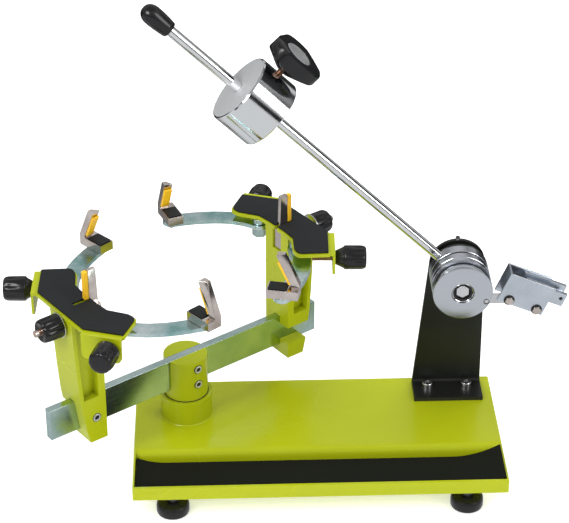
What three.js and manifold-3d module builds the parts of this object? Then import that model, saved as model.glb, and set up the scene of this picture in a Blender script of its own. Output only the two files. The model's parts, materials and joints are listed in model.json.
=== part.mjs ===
// Drop-weight racket stringing machine: a folded base with a tool tray, a turntable beam
// with two sliding heads that hold the racket frame, and a drop-weight tension arm.
// Millimetres, +Z up. The machine's front is towards -Y and its tension arm stands on the +X side.

import * as THREE from 'three';
import { mergeVertices } from 'three/addons/utils/BufferGeometryUtils.js';
import Module from 'manifold-3d';

const wasm = await Module();
wasm.setup();

// Clearances and shared sizes
const runClear = 0.3;
const seatGap = 0.1;
const screwClear = 0.15;
const overrun = 5;
const roundSides = 36;
const smallSides = 16;
const hexSides = 6;
const bendSteps = 4;
const halfTurn = Math.PI;
const quarterTurn = Math.PI / 2;
const degree = Math.PI / 180;

// Base pan
const baseLength = 430;
const baseDepth = 209;
const panHeight = 17;
const sheet = 2;
const lipThickness = 3.6;
const trayBack = 66;
const trayDrop = 15;
const stepRadius = 10;

// Tray mat
const matThickness = 2;
const matGap = 1;
const matRightRise = 17;
const matRightRun = 55;
const matLeftRise = 8;
const matLeftRun = 35;

// Feet
const footRadius = 19;
const footHeight = 15;
const footChamfer = 4;
const footStandoff = 15;
const footStudRadius = 4;
const footNutRadius = 8;
const footNutHeight = 6;
const footInsetX = 45;
const footFrontInset = 19;
const footRearInset = 22;

// Turntable swivel
const swivelInsetX = 61.3;
const swivelInsetY = 59.5;
const turntableAngle = 35.4;
const collarRadius = 30.8;
const collarHeight = 31;
const collarFloor = 3;
const journalRadius = 16;
const postRadius = 26;
const postTop = 84;
const swivelBoltRadius = 5;
const swivelBoltHeadRadius = 9;
const swivelBoltHeadHeight = 6;
const swivelBoltDepth = 20;
const setScrewRadius = 4.2;
const setScrewProud = 0.6;
const postScrewRises = { lower: 9, upper: 30 };

// Slide beam
const beamLength = 380;
const beamHeight = 40;
const beamThickness = 10;

// Racket heads, measured inwards from each head's outer edge
const headSetback = { left: 25, right: 15 };
const padTop = 210;
const padThickness = 3;
const plateThickness = 4;
const plateMargin = 1.75;
const padOuterHalf = 47;
const wingReach = 28;
const wingHalf = 84;
const wingTipReach = 57;
const wingTipHalf = 65;
const wingTipRadius = 5.5;
const wingRootReach = 55;
const wingRootHalf = 54;
const wingRootRadius = 3;
const waistReach = 41;
const waistHalf = 33;
const innerReach = 39.5;
const innerHalf = 15;
const slotEnd = 17;
const lugOffset = 8;
const lugThickness = 3;
const lugDrop = 28;
const lugRadius = 9;

// Uprights
const uprightHalf = 22;
const uprightFootDrop = 12;
const footWidth = 23;
const heelHeight = 17;
const heelWidth = 27;
const shinHeight = 58;
const shinWidth = 33;
const kneeHeight = 91;
const kneeWidth = 35.5;
const lowerLipHeight = 8;
const upperJawDrop = 9;
const pocketDepth = 11;
const pocketRise = 8;
const pocketInnerRim = 9;
const pocketOuterRim = 4.5;
const uprightScrewInset = 13.3;
const channelHalf = 8;
const channelDepth = 27;
const channelEnd = 10;

// Centre supports
const centreRodDrop = 13;
const centreRodRadius = 4;
const bladeThickness = 5;
const bladeDepth = 12.5;
const bladeTopDepth = 10;
const bladeRise = 37;
const bladeReach = { left: 37, right: 25 };
const centreRodProud = 7;
const centreKnobBackOff = { left: 0, right: 9.3 };
const centrePadThickness = 5.6;
const centrePadWidth = 5.4;
const centrePadLift = 0.4;
const centrePadTopDrop = 1;
const knobRadius = 14.25;
const centreKnobLength = 25;
const knobWasherRadius = 15;
const knobWasherThickness = 1.5;
const knobChamfer = 2;

// Swing arms
const armPivotReach = 38;
const armPivotHalf = 36;
const armDrop = 7;
const armThickness = 5;
const armHalfWidth = 10.5;
const armLength = 106;
const armBowReach = 38;
const armBow = 25;
const armSteps = 10;
const armEndSteps = 6;
const armAngles = { left: { rear: 41.3, front: 37.2 }, right: { rear: 41.4, front: 43.5 } };
const armBoltRadius = 4;
const armBoltHeadRadius = 9;
const armBoltHeadHeight = 11;
const armSpacerRadius = 8;

// Arm knobs, whose screws press on the arms' outer edges
const armKnobDrop = 3;
const armKnobLength = 30;
const armKnobTipShift = 9;
const armKnobGaps = { left: { rear: 4.5, front: 0.6 }, right: { rear: 1.5, front: 6.5 } };
const armScrewRadius = 4;
const armScrewTipGap = 1.2;

// Shoulder hooks, measured from the swivel axis; the post stands along one side of the block
const hookBackReach = 20;
const hookFreeReach = 16.5;
const hookWidth = 19;
const hookBlockHeight = 11;
const hookPostThickness = 9;
const hookPostWidth = 10.5;
const hookPostBackWidth = 9;
const hookPostTopBackWidth = 5;
const hookUprightHeight = 3;
const hookPostHeight = 40.5;
const hookLeanAngle = 24.5;
const hookBoltRadius = 3;
const hookNutRadius = 4.5;
const hookNutHeight = 4.5;
const hookAngles = { left: { rear: -81.4, front: 95.7 }, right: { rear: 76.7, front: -48.7 } };
const gripPadThickness = 3;
const gripPadWidth = 10;
const gripPadLength = 31.5;

// Tension bracket
const bracketLeftReach = 48.5;
const bracketRightReach = 34.5;
const bracketThickness = 5;
const bracketBackInset = 9;
const bracketFootDepth = 41;
const bracketBend = 4;
const bracketFootCorner = 4;
const bracketTopRadius = 33;
const bracketBossRadius = 14;
const bracketBossLength = 9.7;
const bracketScrewRadius = 4;
const bracketScrewHeadRadius = 6.5;
const bracketScrewHeadHeight = 6;
const bracketScrewInset = 18;
const bracketScrewForward = 16;
const bracketScrewLength = 16;

// Tension drum and clutch
const drumInsetX = 46.5;
const drumHeight = 171;
const drumRadius = 34.7;
const drumLength = 35;
const flangeLength = 7;
const grooveLength = 9;
const grooveRadius = 31;
const drumChamfer = 1.2;
const clutchLength = 18.7;
const axleRadius = 6;
const axleHeadRadius = 8.5;
const axleHeadLength = 7;
const axleTail = 3;
const counterboreRadius = 13;
const counterboreDepth = 11;

// Tension rod, its cap and its weight
const rodAngle = 44;
const rodRadius = 6;
const rodSocketEnd = 12;
const rodEnd = 483.5;
const capOverlap = 26;
const capProud = 13;
const capMouthRadius = 9.4;
const capRadius = 11.6;
const capDomeSteps = 6;
const weightRadius = 42;
const weightLength = 50;
const weightStation = 330;
const weightChamfer = 1.5;
const weightKnobRadius = 33;
const weightKnobWaist = 24;
const weightKnobThickness = 15;
const weightKnobOffset = 4.5;
const weightKnobStandoff = 7;
const weightKnobHubRadius = 9;
const weightKnobHubHeight = 12;
const weightKnobLobes = 3;
const weightScrewRadius = 4;

// Gripper, measured from its left bolt
const linkPinX = 27.7;
const linkPinDrop = 11.7;
const linkPinRadius = 2.5;
const linkLength = 26.5;
const linkHalfWidth = 6;
const linkThickness = 3.7;
const linkInset = 5.15;
const linkSlotHalf = 10;
const linkSlotStart = 18;
const linkPinBack = 7;
const gripperAngle = 22.6;
const gripperInset = 2.5;
const gripperDepth = 25;
const gripperPlate = 2.5;
const gripperLength = 57;
const gripperHeight = 38.5;
const gripperBoltInset = 13;
const gripperBoltRise = 5.5;
const gripperBoltSpacing = 35.2;
const gripperBoltRadius = 2.5;
const gripperBoltHeadRadius = 5.5;
const gripperBoltHeadLength = 4;
const gripperWebBottom = 8;
const jawLength = 72;
const jawBottom = 12.5;
const jawTopDrop = 1;
const jawHoleRadius = 1.8;
const jawHoleInset = 5.5;
const jawRelief = 3;

// Sizes worked out from the ones above
const swivelX = swivelInsetX - baseLength / 2;
const swivelY = baseDepth - swivelInsetY;
const beamBottom = postTop - beamHeight;
const plateTop = padTop - padThickness;
const plateBottom = plateTop - plateThickness;
const lugBottom = plateBottom - lugDrop;
const uprightBottom = beamBottom - uprightFootDrop;
const pocketBottom = postTop + pocketRise;
const centreRodHeight = plateBottom - centreRodDrop;
const channelFloor = plateBottom - channelDepth;
const bladeTop = padTop + bladeRise;
const armTop = plateBottom - armDrop;
const armBottom = armTop - armThickness;
const armKnobHeight = armTop - armKnobDrop;
const footTop = -panHeight - footStandoff;
const footBottom = footTop - footHeight;
const drumX = baseLength / 2 - drumInsetX;
const bracketLeft = drumX - bracketLeftReach;
const bracketRight = drumX + bracketRightReach;
const bracketBack = baseDepth - bracketBackInset;
const clutchBack = bracketBack - bracketThickness - bracketBossLength - runClear;
const clutchFront = clutchBack - clutchLength;
const drumFront = clutchFront - runClear - drumLength;
const linkFront = drumFront + linkInset;
const gripperFront = drumFront + gripperInset;
const rodY = clutchFront + clutchLength / 2;
const capStart = rodEnd - capOverlap;
const capEnd = rodEnd + capProud;
const weightKnobFoot = weightRadius + weightKnobStandoff;
const rodDirection = new THREE.Vector3(-Math.cos(rodAngle * degree), 0, Math.sin(rodAngle * degree));

// Paints
const looks = {
  limePaint: { color: 0xb9c832, roughness: 0.32, metalness: 0.1 },
  matRubber: { color: 0x24261e, roughness: 0.9, metalness: 0 },
  blackRubber: { color: 0x17181a, roughness: 0.6, metalness: 0 },
  blackPlastic: { color: 0x1b1c1e, roughness: 0.45, metalness: 0 },
  blackPaint: { color: 0x232522, roughness: 0.5, metalness: 0.2 },
  zinc: { color: 0xaebbc4, roughness: 0.32, metalness: 0.9 },
  chrome: { color: 0xdfe3e6, roughness: 0.12, metalness: 1 },
  turnedSteel: { color: 0xb4b8be, roughness: 0.3, metalness: 0.95 },
  yellowPad: { color: 0xf0bf20, roughness: 0.5, metalness: 0 },
  steelScrew: { color: 0x8d8f92, roughness: 0.35, metalness: 0.9 },
};

// A closed geometry as a solid, with its faces turned outwards
function toSolid(geometry) {
  const bare = geometry.clone();
  bare.deleteAttribute('normal');
  bare.deleteAttribute('uv');
  const merged = mergeVertices(bare);
  const source = Array.from(merged.index.array);
  const corners = [];
  for (let i = 0; i < source.length; i += 3) {
    const [a, b, c] = source.slice(i, i + 3);
    if (a !== b && b !== c && c !== a) corners.push(a, b, c);
  }
  if (signedVolume(merged.attributes.position, corners) < 0) corners.reverse();
  return new wasm.Manifold(new wasm.Mesh({
    numProp: 3,
    vertProperties: new Float32Array(merged.attributes.position.array),
    triVerts: new Uint32Array(corners),
  }));
}

function signedVolume(position, corners) {
  const points = [new THREE.Vector3(), new THREE.Vector3(), new THREE.Vector3()];
  let sum = 0;
  for (let i = 0; i < corners.length; i += 3) {
    points.forEach((point, k) => point.fromBufferAttribute(position, corners[i + k]));
    sum += points[0].dot(points[1].clone().cross(points[2]));
  }
  return sum;
}

function toGeometry(solid) {
  const mesh = solid.getMesh();
  const geometry = new THREE.BufferGeometry();
  geometry.setAttribute('position', new THREE.BufferAttribute(mesh.vertProperties, 3));
  geometry.setIndex(new THREE.BufferAttribute(mesh.triVerts, 1));
  geometry.computeVertexNormals();
  return geometry;
}

// The first geometries joined, less the second ones
function carve(bodies, cutters = []) {
  const joined = bodies.map(toSolid).reduce((sum, next) => sum.add(next));
  return toGeometry(cutters.map(toSolid).reduce((rest, next) => rest.subtract(next), joined));
}

function boxBetween(low, high) {
  const size = high.map((value, axis) => value - low[axis]);
  const middle = high.map((value, axis) => (value + low[axis]) / 2);
  return new THREE.BoxGeometry(...size).translate(...middle);
}

// A round or hexagonal bar from one point to another
function bar(radius, start, end, sides = smallSides) {
  const from = new THREE.Vector3(...start);
  const to = new THREE.Vector3(...end);
  const run = to.clone().sub(from);
  const geometry = new THREE.CylinderGeometry(radius, radius, run.length(), sides);
  geometry.applyQuaternion(new THREE.Quaternion().setFromUnitVectors(new THREE.Vector3(0, 1, 0), run.normalize()));
  return geometry.translate(...from.add(to).divideScalar(2).toArray());
}

// A profile of radius and height pairs turned about Z
function turned(profile, sides = roundSides) {
  const points = profile.map(([radius, height]) => new THREE.Vector2(radius, height));
  return new THREE.LatheGeometry(points, sides).rotateX(quarterTurn);
}

// A flat outline in X and Y given thickness from one height to another
function slab(shape, low, high, curveSegments = bendSteps) {
  const settings = { depth: high - low, bevelEnabled: false, curveSegments };
  return new THREE.ExtrudeGeometry(shape, settings).translate(0, 0, low);
}

// A flat outline in X and Z given thickness from one Y to another
function wallSlab(shape, front, back, curveSegments = bendSteps) {
  return slab(shape, -back, -front, curveSegments).rotateX(quarterTurn);
}

// A section in Y and Z drawn out along X
function sectionSlab(shape, left, right, curveSegments = bendSteps) {
  return slab(shape, left, right, curveSegments).rotateX(quarterTurn).rotateZ(quarterTurn);
}

// An outline with each corner rounded by its third number
function outline(corners) {
  const shape = new THREE.Shape();
  corners.forEach(([x, y, radius = 0], i) => {
    const here = new THREE.Vector2(x, y);
    const before = new THREE.Vector2(...corners.at(i - 1).slice(0, 2)).sub(here).normalize();
    const after = new THREE.Vector2(...corners[(i + 1) % corners.length].slice(0, 2)).sub(here).normalize();
    const start = before.multiplyScalar(radius).add(here);
    const end = after.multiplyScalar(radius).add(here);
    if (i === 0) shape.moveTo(start.x, start.y);
    else shape.lineTo(start.x, start.y);
    if (radius > 0) shape.quadraticCurveTo(x, y, end.x, end.y);
  });
  shape.closePath();
  return shape;
}

// The same corners moved out by a margin, edge by edge
function outset(corners, margin) {
  return corners.map(([x, y, radius = 0], i) => {
    const here = new THREE.Vector2(x, y);
    const before = here.clone().sub(new THREE.Vector2(...corners.at(i - 1).slice(0, 2))).normalize();
    const after = new THREE.Vector2(...corners[(i + 1) % corners.length].slice(0, 2)).sub(here).normalize();
    const normals = [before, after].map((edge) => new THREE.Vector2(edge.y, -edge.x));
    const mitre = normals[0].clone().add(normals[1]);
    mitre.multiplyScalar(margin / (1 + normals[0].dot(normals[1])));
    return [x + mitre.x, y + mitre.y, radius];
  });
}

function addPiece(group, name, look, geometry) {
  const mesh = new THREE.Mesh(geometry, new THREE.MeshStandardMaterial(looks[look]));
  mesh.name = name;
  group.add(mesh);
  return mesh;
}

// Base pan: folded sheet with a tool tray in front, closed ends and the welded swivel collar
function basePan() {
  const half = baseLength / 2;
  const innerRadius = stepRadius - sheet;
  const profile = outline([
    [0, -panHeight], [0, 0], [lipThickness, 0], [lipThickness, -trayDrop], [trayBack, -trayDrop],
    [trayBack, 0, stepRadius], [baseDepth, 0], [baseDepth, -panHeight],
    [baseDepth - sheet, -panHeight], [baseDepth - sheet, -sheet],
    [trayBack + sheet, -sheet, innerRadius], [trayBack + sheet, -panHeight],
  ]);
  const folded = sectionSlab(profile, -half, half);
  const ends = [-1, 1].map((side) => boxBetween(
    [side < 0 ? -half : half - sheet, 0, -panHeight],
    [side < 0 ? sheet - half : half, baseDepth, 0],
  ));
  const collar = bar(collarRadius, [swivelX, swivelY, -sheet], [swivelX, swivelY, collarHeight], roundSides);
  const bore = bar(
    journalRadius + runClear,
    [swivelX, swivelY, collarFloor], [swivelX, swivelY, collarHeight + overrun], roundSides,
  );
  const boltHole = bar(
    swivelBoltRadius + runClear,
    [swivelX, swivelY, -panHeight], [swivelX, swivelY, collarHeight],
  );
  const screwHoles = bracketScrewPlaces().map(([x, y]) => bar(
    bracketScrewRadius + screwClear, [x, y, -panHeight], [x, y, overrun],
  ));
  return carve([folded, ...ends, collar], [bore, boltHole, ...screwHoles]);
}

// Tray mat, its ends curling up the tray's end walls
function trayMat() {
  const left = sheet + matGap - baseLength / 2;
  const right = baseLength / 2 - sheet - matGap;
  const low = seatGap - trayDrop;
  const shape = new THREE.Shape();
  shape.moveTo(left, low + matLeftRise);
  shape.quadraticCurveTo(left + matLeftRun / 2, low, left + matLeftRun, low);
  shape.lineTo(right - matRightRun, low);
  shape.quadraticCurveTo(right - matRightRun / 2, low, right, low + matRightRise);
  shape.lineTo(right, low + matRightRise + matThickness);
  shape.quadraticCurveTo(right - matRightRun / 2, low + matThickness, right - matRightRun, low + matThickness);
  shape.lineTo(left + matLeftRun, low + matThickness);
  shape.quadraticCurveTo(left + matLeftRun / 2, low + matThickness, left, low + matLeftRise + matThickness);
  shape.closePath();
  return carve([wallSlab(shape, lipThickness + matGap, trayBack - matGap, smallSides / 2)]);
}

// Foot: round rubber disc with its stud and lock nut, screwed up under the sheet
function foot(sheetBottom) {
  const disc = turned([
    [0, footBottom], [footRadius - footChamfer / 2, footBottom], [footRadius, footBottom + footChamfer / 2],
    [footRadius, footTop - footChamfer], [footRadius - footChamfer, footTop], [0, footTop],
  ], roundSides);
  const nut = bar(footNutRadius, [0, 0, footTop - seatGap], [0, 0, footTop + footNutHeight], hexSides);
  const stud = bar(footStudRadius, [0, 0, footBottom + footHeight / 2], [0, 0, sheetBottom - seatGap]);
  return carve([disc, nut, stud]);
}

// Swivel post with its journal, and the open slot that carries the beam
function swivelPost() {
  const shoulder = collarHeight + runClear;
  const body = turned([
    [0, collarFloor + runClear], [journalRadius, collarFloor + runClear], [journalRadius, shoulder],
    [postRadius, shoulder], [postRadius, postTop], [0, postTop],
  ]);
  const slotHalf = beamThickness / 2 + screwClear;
  const slot = boxBetween(
    [-postRadius - overrun, -slotHalf, beamBottom - seatGap],
    [postRadius + overrun, slotHalf, postTop + overrun],
  );
  const boltBore = bar(
    swivelBoltRadius + screwClear, [0, 0, 0], [0, 0, swivelBoltDepth + runClear],
  );
  const screwBores = Object.values(postScrewRises).map((rise) => bar(
    setScrewRadius + screwClear,
    [0, 0, beamBottom + rise], [0, -postRadius - overrun, beamBottom + rise],
  ));
  return carve([body], [slot, boltBore, ...screwBores]);
}

function swivelBolt() {
  const headTop = -sheet - runClear;
  const head = bar(swivelBoltHeadRadius, [0, 0, headTop - swivelBoltHeadHeight], [0, 0, headTop], hexSides);
  const shank = bar(swivelBoltRadius, [0, 0, headTop - seatGap], [0, 0, swivelBoltDepth]);
  return carve([head, shank]);
}

// A set screw lying along Y, its tip against the beam
function setScrew(outerFace) {
  const tip = beamThickness / 2 + screwClear;
  return carve([bar(setScrewRadius, [0, -outerFace - setScrewProud, 0], [0, -tip, 0])]);
}

function slideBeam() {
  return carve([boxBetween(
    [-beamLength / 2, -beamThickness / 2, beamBottom],
    [beamLength / 2, beamThickness / 2, postTop],
  )]);
}

// Upright casting, from its inner face out to its sloping outer face
function upright() {
  const top = plateBottom - seatGap;
  const heel = innerReach - heelWidth;
  const knee = innerReach - kneeWidth;
  const body = wallSlab(outline([
    [innerReach, uprightBottom], [innerReach, top], [0, top], [knee, uprightBottom + kneeHeight],
    [innerReach - shinWidth, uprightBottom + shinHeight], [heel, uprightBottom + heelHeight],
    [innerReach - footWidth, uprightBottom],
  ]), -uprightHalf, uprightHalf);
  const slotHalf = beamThickness / 2 + runClear;
  const slot = boxBetween(
    [-overrun, -slotHalf, beamBottom - runClear], [innerReach + overrun, slotHalf, postTop + runClear],
  );
  const sideMouth = boxBetween(
    [-overrun, 0, beamBottom + lowerLipHeight],
    [innerReach + overrun, uprightHalf + overrun, postTop - upperJawDrop],
  );
  const pocket = outline([
    [innerReach - pocketInnerRim, pocketBottom], [innerReach - pocketInnerRim, top + overrun],
    [pocketOuterRim, top + overrun], [knee + pocketOuterRim, uprightBottom + kneeHeight],
    [innerReach - shinWidth + pocketOuterRim, pocketBottom],
  ]);
  const pocketFloor = uprightHalf - pocketDepth;
  const pockets = [
    wallSlab(pocket, pocketFloor, uprightHalf + overrun),
    wallSlab(pocket, -uprightHalf - overrun, -pocketFloor),
  ];
  const channel = boxBetween(
    [channelEnd, -channelHalf, channelFloor], [innerReach + overrun, channelHalf, top + overrun],
  );
  const rodHole = bar(
    centreRodRadius + runClear, [-overrun, 0, centreRodHeight], [innerReach, 0, centreRodHeight],
  );
  const [screwX, , screwZ] = uprightScrewPlace();
  const screwBore = bar(
    setScrewRadius + screwClear, [screwX, 0, screwZ], [screwX, -uprightHalf - overrun, screwZ],
  );
  return carve([body], [slot, sideMouth, ...pockets, channel, rodHole, screwBore]);
}

// The upright's set screw meets the beam halfway up it
function uprightScrewPlace() {
  return [innerReach - uprightScrewInset, 0, (beamBottom + postTop) / 2];
}

// The head's outline, widest at its wings and waisted towards the racket
function padCorners() {
  const rear = [
    [0, padOuterHalf], [wingReach, wingHalf], [wingTipReach, wingTipHalf, wingTipRadius],
    [wingRootReach, wingRootHalf, wingRootRadius], [waistReach, waistHalf], [innerReach, innerHalf],
  ];
  const front = rear.map(([x, y, radius]) => [x, -y, radius]);
  return [...rear.reverse(), ...front];
}

function bladeSlot(low, high) {
  const half = bladeThickness / 2 + runClear;
  return boxBetween([slotEnd, -half, low - overrun], [innerReach + plateMargin + overrun, half, high + overrun]);
}

function wingSlant() {
  return Math.atan2(wingHalf - padOuterHalf, wingReach);
}

// Places a shape at the middle of a wing's slanted edge, its Y pointing out
function atWingEdge(geometry, side) {
  const slant = wingSlant();
  geometry.rotateZ(side > 0 ? slant : halfTurn - slant);
  return geometry.translate(wingReach / 2, side * (padOuterHalf + wingHalf) / 2, 0);
}

function headPlate() {
  const plate = slab(outline(outset(padCorners(), plateMargin)), plateBottom, plateTop);
  const lugHalf = Math.hypot(wingReach, wingHalf - padOuterHalf) / 2;
  const bodies = [plate];
  const cutters = [bladeSlot(plateBottom, plateTop)];
  for (const side of [-1, 1]) {
    const flap = wallSlab(outline([
      [-lugHalf, plateTop], [-lugHalf, lugBottom, lugRadius],
      [lugHalf, lugBottom, lugRadius], [lugHalf, plateTop],
    ]), lugOffset - lugThickness, lugOffset);
    const shelf = boxBetween([-lugHalf, 0, plateBottom], [lugHalf, lugOffset, plateTop]);
    bodies.push(atWingEdge(flap, side), atWingEdge(shelf, side));
    const shift = side * armKnobTipShift;
    cutters.push(atWingEdge(bar(
      armScrewRadius + runClear, [shift, 0, armKnobHeight], [shift, lugOffset + overrun, armKnobHeight],
    ), side));
    cutters.push(bar(
      armBoltRadius + screwClear,
      [armPivotReach, side * armPivotHalf, plateBottom - overrun],
      [armPivotReach, side * armPivotHalf, plateTop + overrun],
    ));
  }
  return carve(bodies, cutters);
}

function headPad() {
  const pad = slab(outline(padCorners()), plateTop + seatGap, padTop);
  return carve([pad], [bladeSlot(plateTop, padTop)]);
}

// Where a head's centre knob bears, outside the plate's edge
function centreKnobFace(end) {
  return -plateMargin - runClear - centreKnobBackOff[end];
}

// Centre support: the blade, its foot in the upright's channel and its threaded rod
function centreSupport(end) {
  const reach = bladeReach[end];
  const rodTip = centreKnobFace(end) - centreKnobLength - centreRodProud;
  const low = channelFloor + runClear;
  const high = plateBottom - seatGap - runClear;
  const blade = wallSlab(outline([
    [reach, low], [reach + bladeDepth, low], [reach + bladeTopDepth, bladeTop], [reach, bladeTop],
  ]), -bladeThickness / 2, bladeThickness / 2);
  const block = boxBetween([reach, runClear - channelHalf, low], [reach + bladeDepth, channelHalf - runClear, high]);
  const rod = bar(
    centreRodRadius, [rodTip, 0, centreRodHeight], [reach + bladeDepth / 2, 0, centreRodHeight],
  );
  return carve([blade, block, rod]);
}

function centrePad(reach) {
  return carve([boxBetween(
    [reach - seatGap - centrePadThickness, -centrePadWidth / 2, padTop + centrePadLift],
    [reach - seatGap, centrePadWidth / 2, bladeTop - centrePadTopDrop],
  )]);
}

// Knob profile from its washer face along its axis, as radius and length pairs
function knobProfile(boreRadius, length) {
  return [
    [boreRadius, 0], [knobWasherRadius, 0], [knobWasherRadius, knobWasherThickness],
    [knobRadius, knobWasherThickness], [knobRadius, length - knobChamfer],
    [knobRadius - knobChamfer, length], [boreRadius, length],
  ];
}

function centreKnob() {
  const bore = centreRodRadius + runClear;
  const profile = knobProfile(bore, centreKnobLength);
  return carve([turned([...profile, profile[0]], roundSides)]).rotateY(-quarterTurn);
}

function armCurve(side) {
  return new THREE.QuadraticBezierCurve(
    new THREE.Vector2(0, 0), new THREE.Vector2(armBowReach, side * armBow), new THREE.Vector2(armLength, 0),
  );
}

// Swing arm: a flat bar from its pivot at the origin to its hook end on the X axis, bowed to one side
function swingArm(side) {
  const bow = armCurve(side);
  const sideways = (t) => {
    const tangent = bow.getTangent(t);
    return new THREE.Vector2(-tangent.y, tangent.x).multiplyScalar(armHalfWidth);
  };
  const points = [];
  for (let i = 0; i <= armSteps; i += 1) {
    points.push(bow.getPoint(i / armSteps).add(sideways(i / armSteps)));
  }
  for (let i = 1; i < armEndSteps; i += 1) {
    const turn = sideways(1).rotateAround(new THREE.Vector2(), -halfTurn * i / armEndSteps);
    points.push(bow.getPoint(1).add(turn));
  }
  for (let i = armSteps; i >= 0; i -= 1) {
    points.push(bow.getPoint(i / armSteps).sub(sideways(i / armSteps)));
  }
  for (let i = 1; i < armEndSteps; i += 1) {
    points.push(sideways(0).rotateAround(new THREE.Vector2(), halfTurn - halfTurn * i / armEndSteps));
  }
  const body = slab(new THREE.Shape(points), armBottom, armTop);
  const pivotHole = bar(
    armBoltRadius + runClear, [0, 0, armBottom - overrun], [0, 0, armTop + overrun],
  );
  const hookHole = bar(
    hookBoltRadius + runClear, [armLength, 0, armBottom - overrun], [armLength, 0, armTop + overrun],
  );
  return carve([body], [pivotHole, hookHole]);
}

// Arm bolt: hexagon head under the arm, shank through it and a spacer up to the plate
function armBolt() {
  const headTop = armBottom - runClear;
  const head = bar(armBoltHeadRadius, [0, 0, headTop - armBoltHeadHeight], [0, 0, headTop], hexSides);
  const shank = bar(armBoltRadius, [0, 0, headTop - seatGap], [0, 0, plateTop - seatGap]);
  const spacer = bar(armSpacerRadius, [0, 0, armTop + runClear], [0, 0, plateBottom - seatGap], roundSides);
  return carve([head, shank, spacer]);
}

// How far an arm's outer edge lies from the wing's edge, along the knob's axis
function armEdgeDepth(armAngle) {
  const along = new THREE.Vector2(Math.cos(wingSlant()), Math.sin(wingSlant()));
  const inwards = new THREE.Vector2(along.y, -along.x);
  const start = new THREE.Vector2(wingReach / 2, (padOuterHalf + wingHalf) / 2).addScaledVector(along, armKnobTipShift);
  const bow = armCurve(1);
  const edge = [];
  for (let i = 0; i <= armSteps; i += 1) {
    const tangent = bow.getTangent(i / armSteps);
    const outwards = new THREE.Vector2(-tangent.y, tangent.x).multiplyScalar(armHalfWidth + armScrewTipGap);
    const point = bow.getPoint(i / armSteps).add(outwards).rotateAround(new THREE.Vector2(), armAngle * degree);
    edge.push(point.add(new THREE.Vector2(armPivotReach, armPivotHalf)).sub(start));
  }
  const past = edge.map((point) => inwards.cross(point));
  const next = Math.max(1, past.findIndex((distance) => distance > 0));
  return edge[next - 1].lerp(edge[next], past[next - 1] / (past[next - 1] - past[next])).dot(inwards);
}

// Arm knob with its screw, built along Y with the wing's edge at the origin
function armKnob(tipDepth, gap) {
  const face = lugOffset + gap;
  const knob = turned(knobProfile(0, armKnobLength), roundSides).rotateX(-quarterTurn);
  knob.translate(0, face, armKnobHeight);
  const screw = bar(armScrewRadius, [0, -tipDepth, armKnobHeight], [0, face + knobWasherThickness, armKnobHeight]);
  return carve([knob, screw]);
}

// A convex solid between two level sections, each given as corners in X and Y
function loft(lowCorners, low, highCorners, high) {
  const points = [...lowCorners.map(([x, y]) => [x, y, low]), ...highCorners.map(([x, y]) => [x, y, high])];
  return toGeometry(wasm.Manifold.hull(points));
}

// A level section of a hook's post, its back face narrower than its front face
function postSection(backWidth, leanRun) {
  const side = -hookWidth / 2;
  const back = leanRun - hookBackReach;
  const front = back + hookPostThickness;
  return [[back, side], [front, side], [front, side + hookPostWidth], [back, side + backWidth]];
}

// Shoulder hook with its bolt and nut through the arm's end; it points along X, towards the racket
function shoulderHook() {
  const half = hookWidth / 2;
  const bottom = armTop + runClear;
  const shelf = bottom + hookBlockHeight;
  const bend = shelf + hookUprightHeight;
  const top = shelf + hookPostHeight;
  const leanRun = (top - bend) * Math.tan(hookLeanAngle * degree);
  const block = boxBetween([-hookBackReach, -half, bottom], [hookFreeReach, half, shelf]);
  const foot = postSection(hookPostBackWidth, 0);
  const upright = loft(foot, bottom, foot, bend);
  const leaning = loft(foot, bend, postSection(hookPostTopBackWidth, leanRun), top);
  const nutTop = armBottom - runClear;
  const bolt = bar(hookBoltRadius, [0, 0, nutTop - hookNutHeight / 2], [0, 0, bottom + seatGap]);
  const nut = bar(hookNutRadius, [0, 0, nutTop - hookNutHeight], [0, 0, nutTop], hexSides);
  return carve([block, upright, leaning, bolt, nut]);
}

// Grip pad on the leaning part of a hook's post
function gripPad() {
  const bend = armTop + runClear + hookBlockHeight + hookUprightHeight;
  const lean = hookLeanAngle * degree;
  const side = (hookPostWidth - gripPadWidth - hookWidth) / 2;
  const pad = boxBetween([seatGap, side, 0], [seatGap + gripPadThickness, side + gripPadWidth, gripPadLength]);
  pad.rotateY(lean).translate(hookPostThickness - hookBackReach, 0, bend);
  pad.translate(gripPadThickness * Math.sin(lean) * Math.tan(lean), 0, gripPadThickness * Math.sin(lean));
  return carve([pad]);
}

function bracketScrewPlaces() {
  const y = bracketBack - bracketScrewForward;
  return [[bracketLeft + bracketScrewInset, y], [bracketRight - bracketScrewInset, y]];
}

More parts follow.
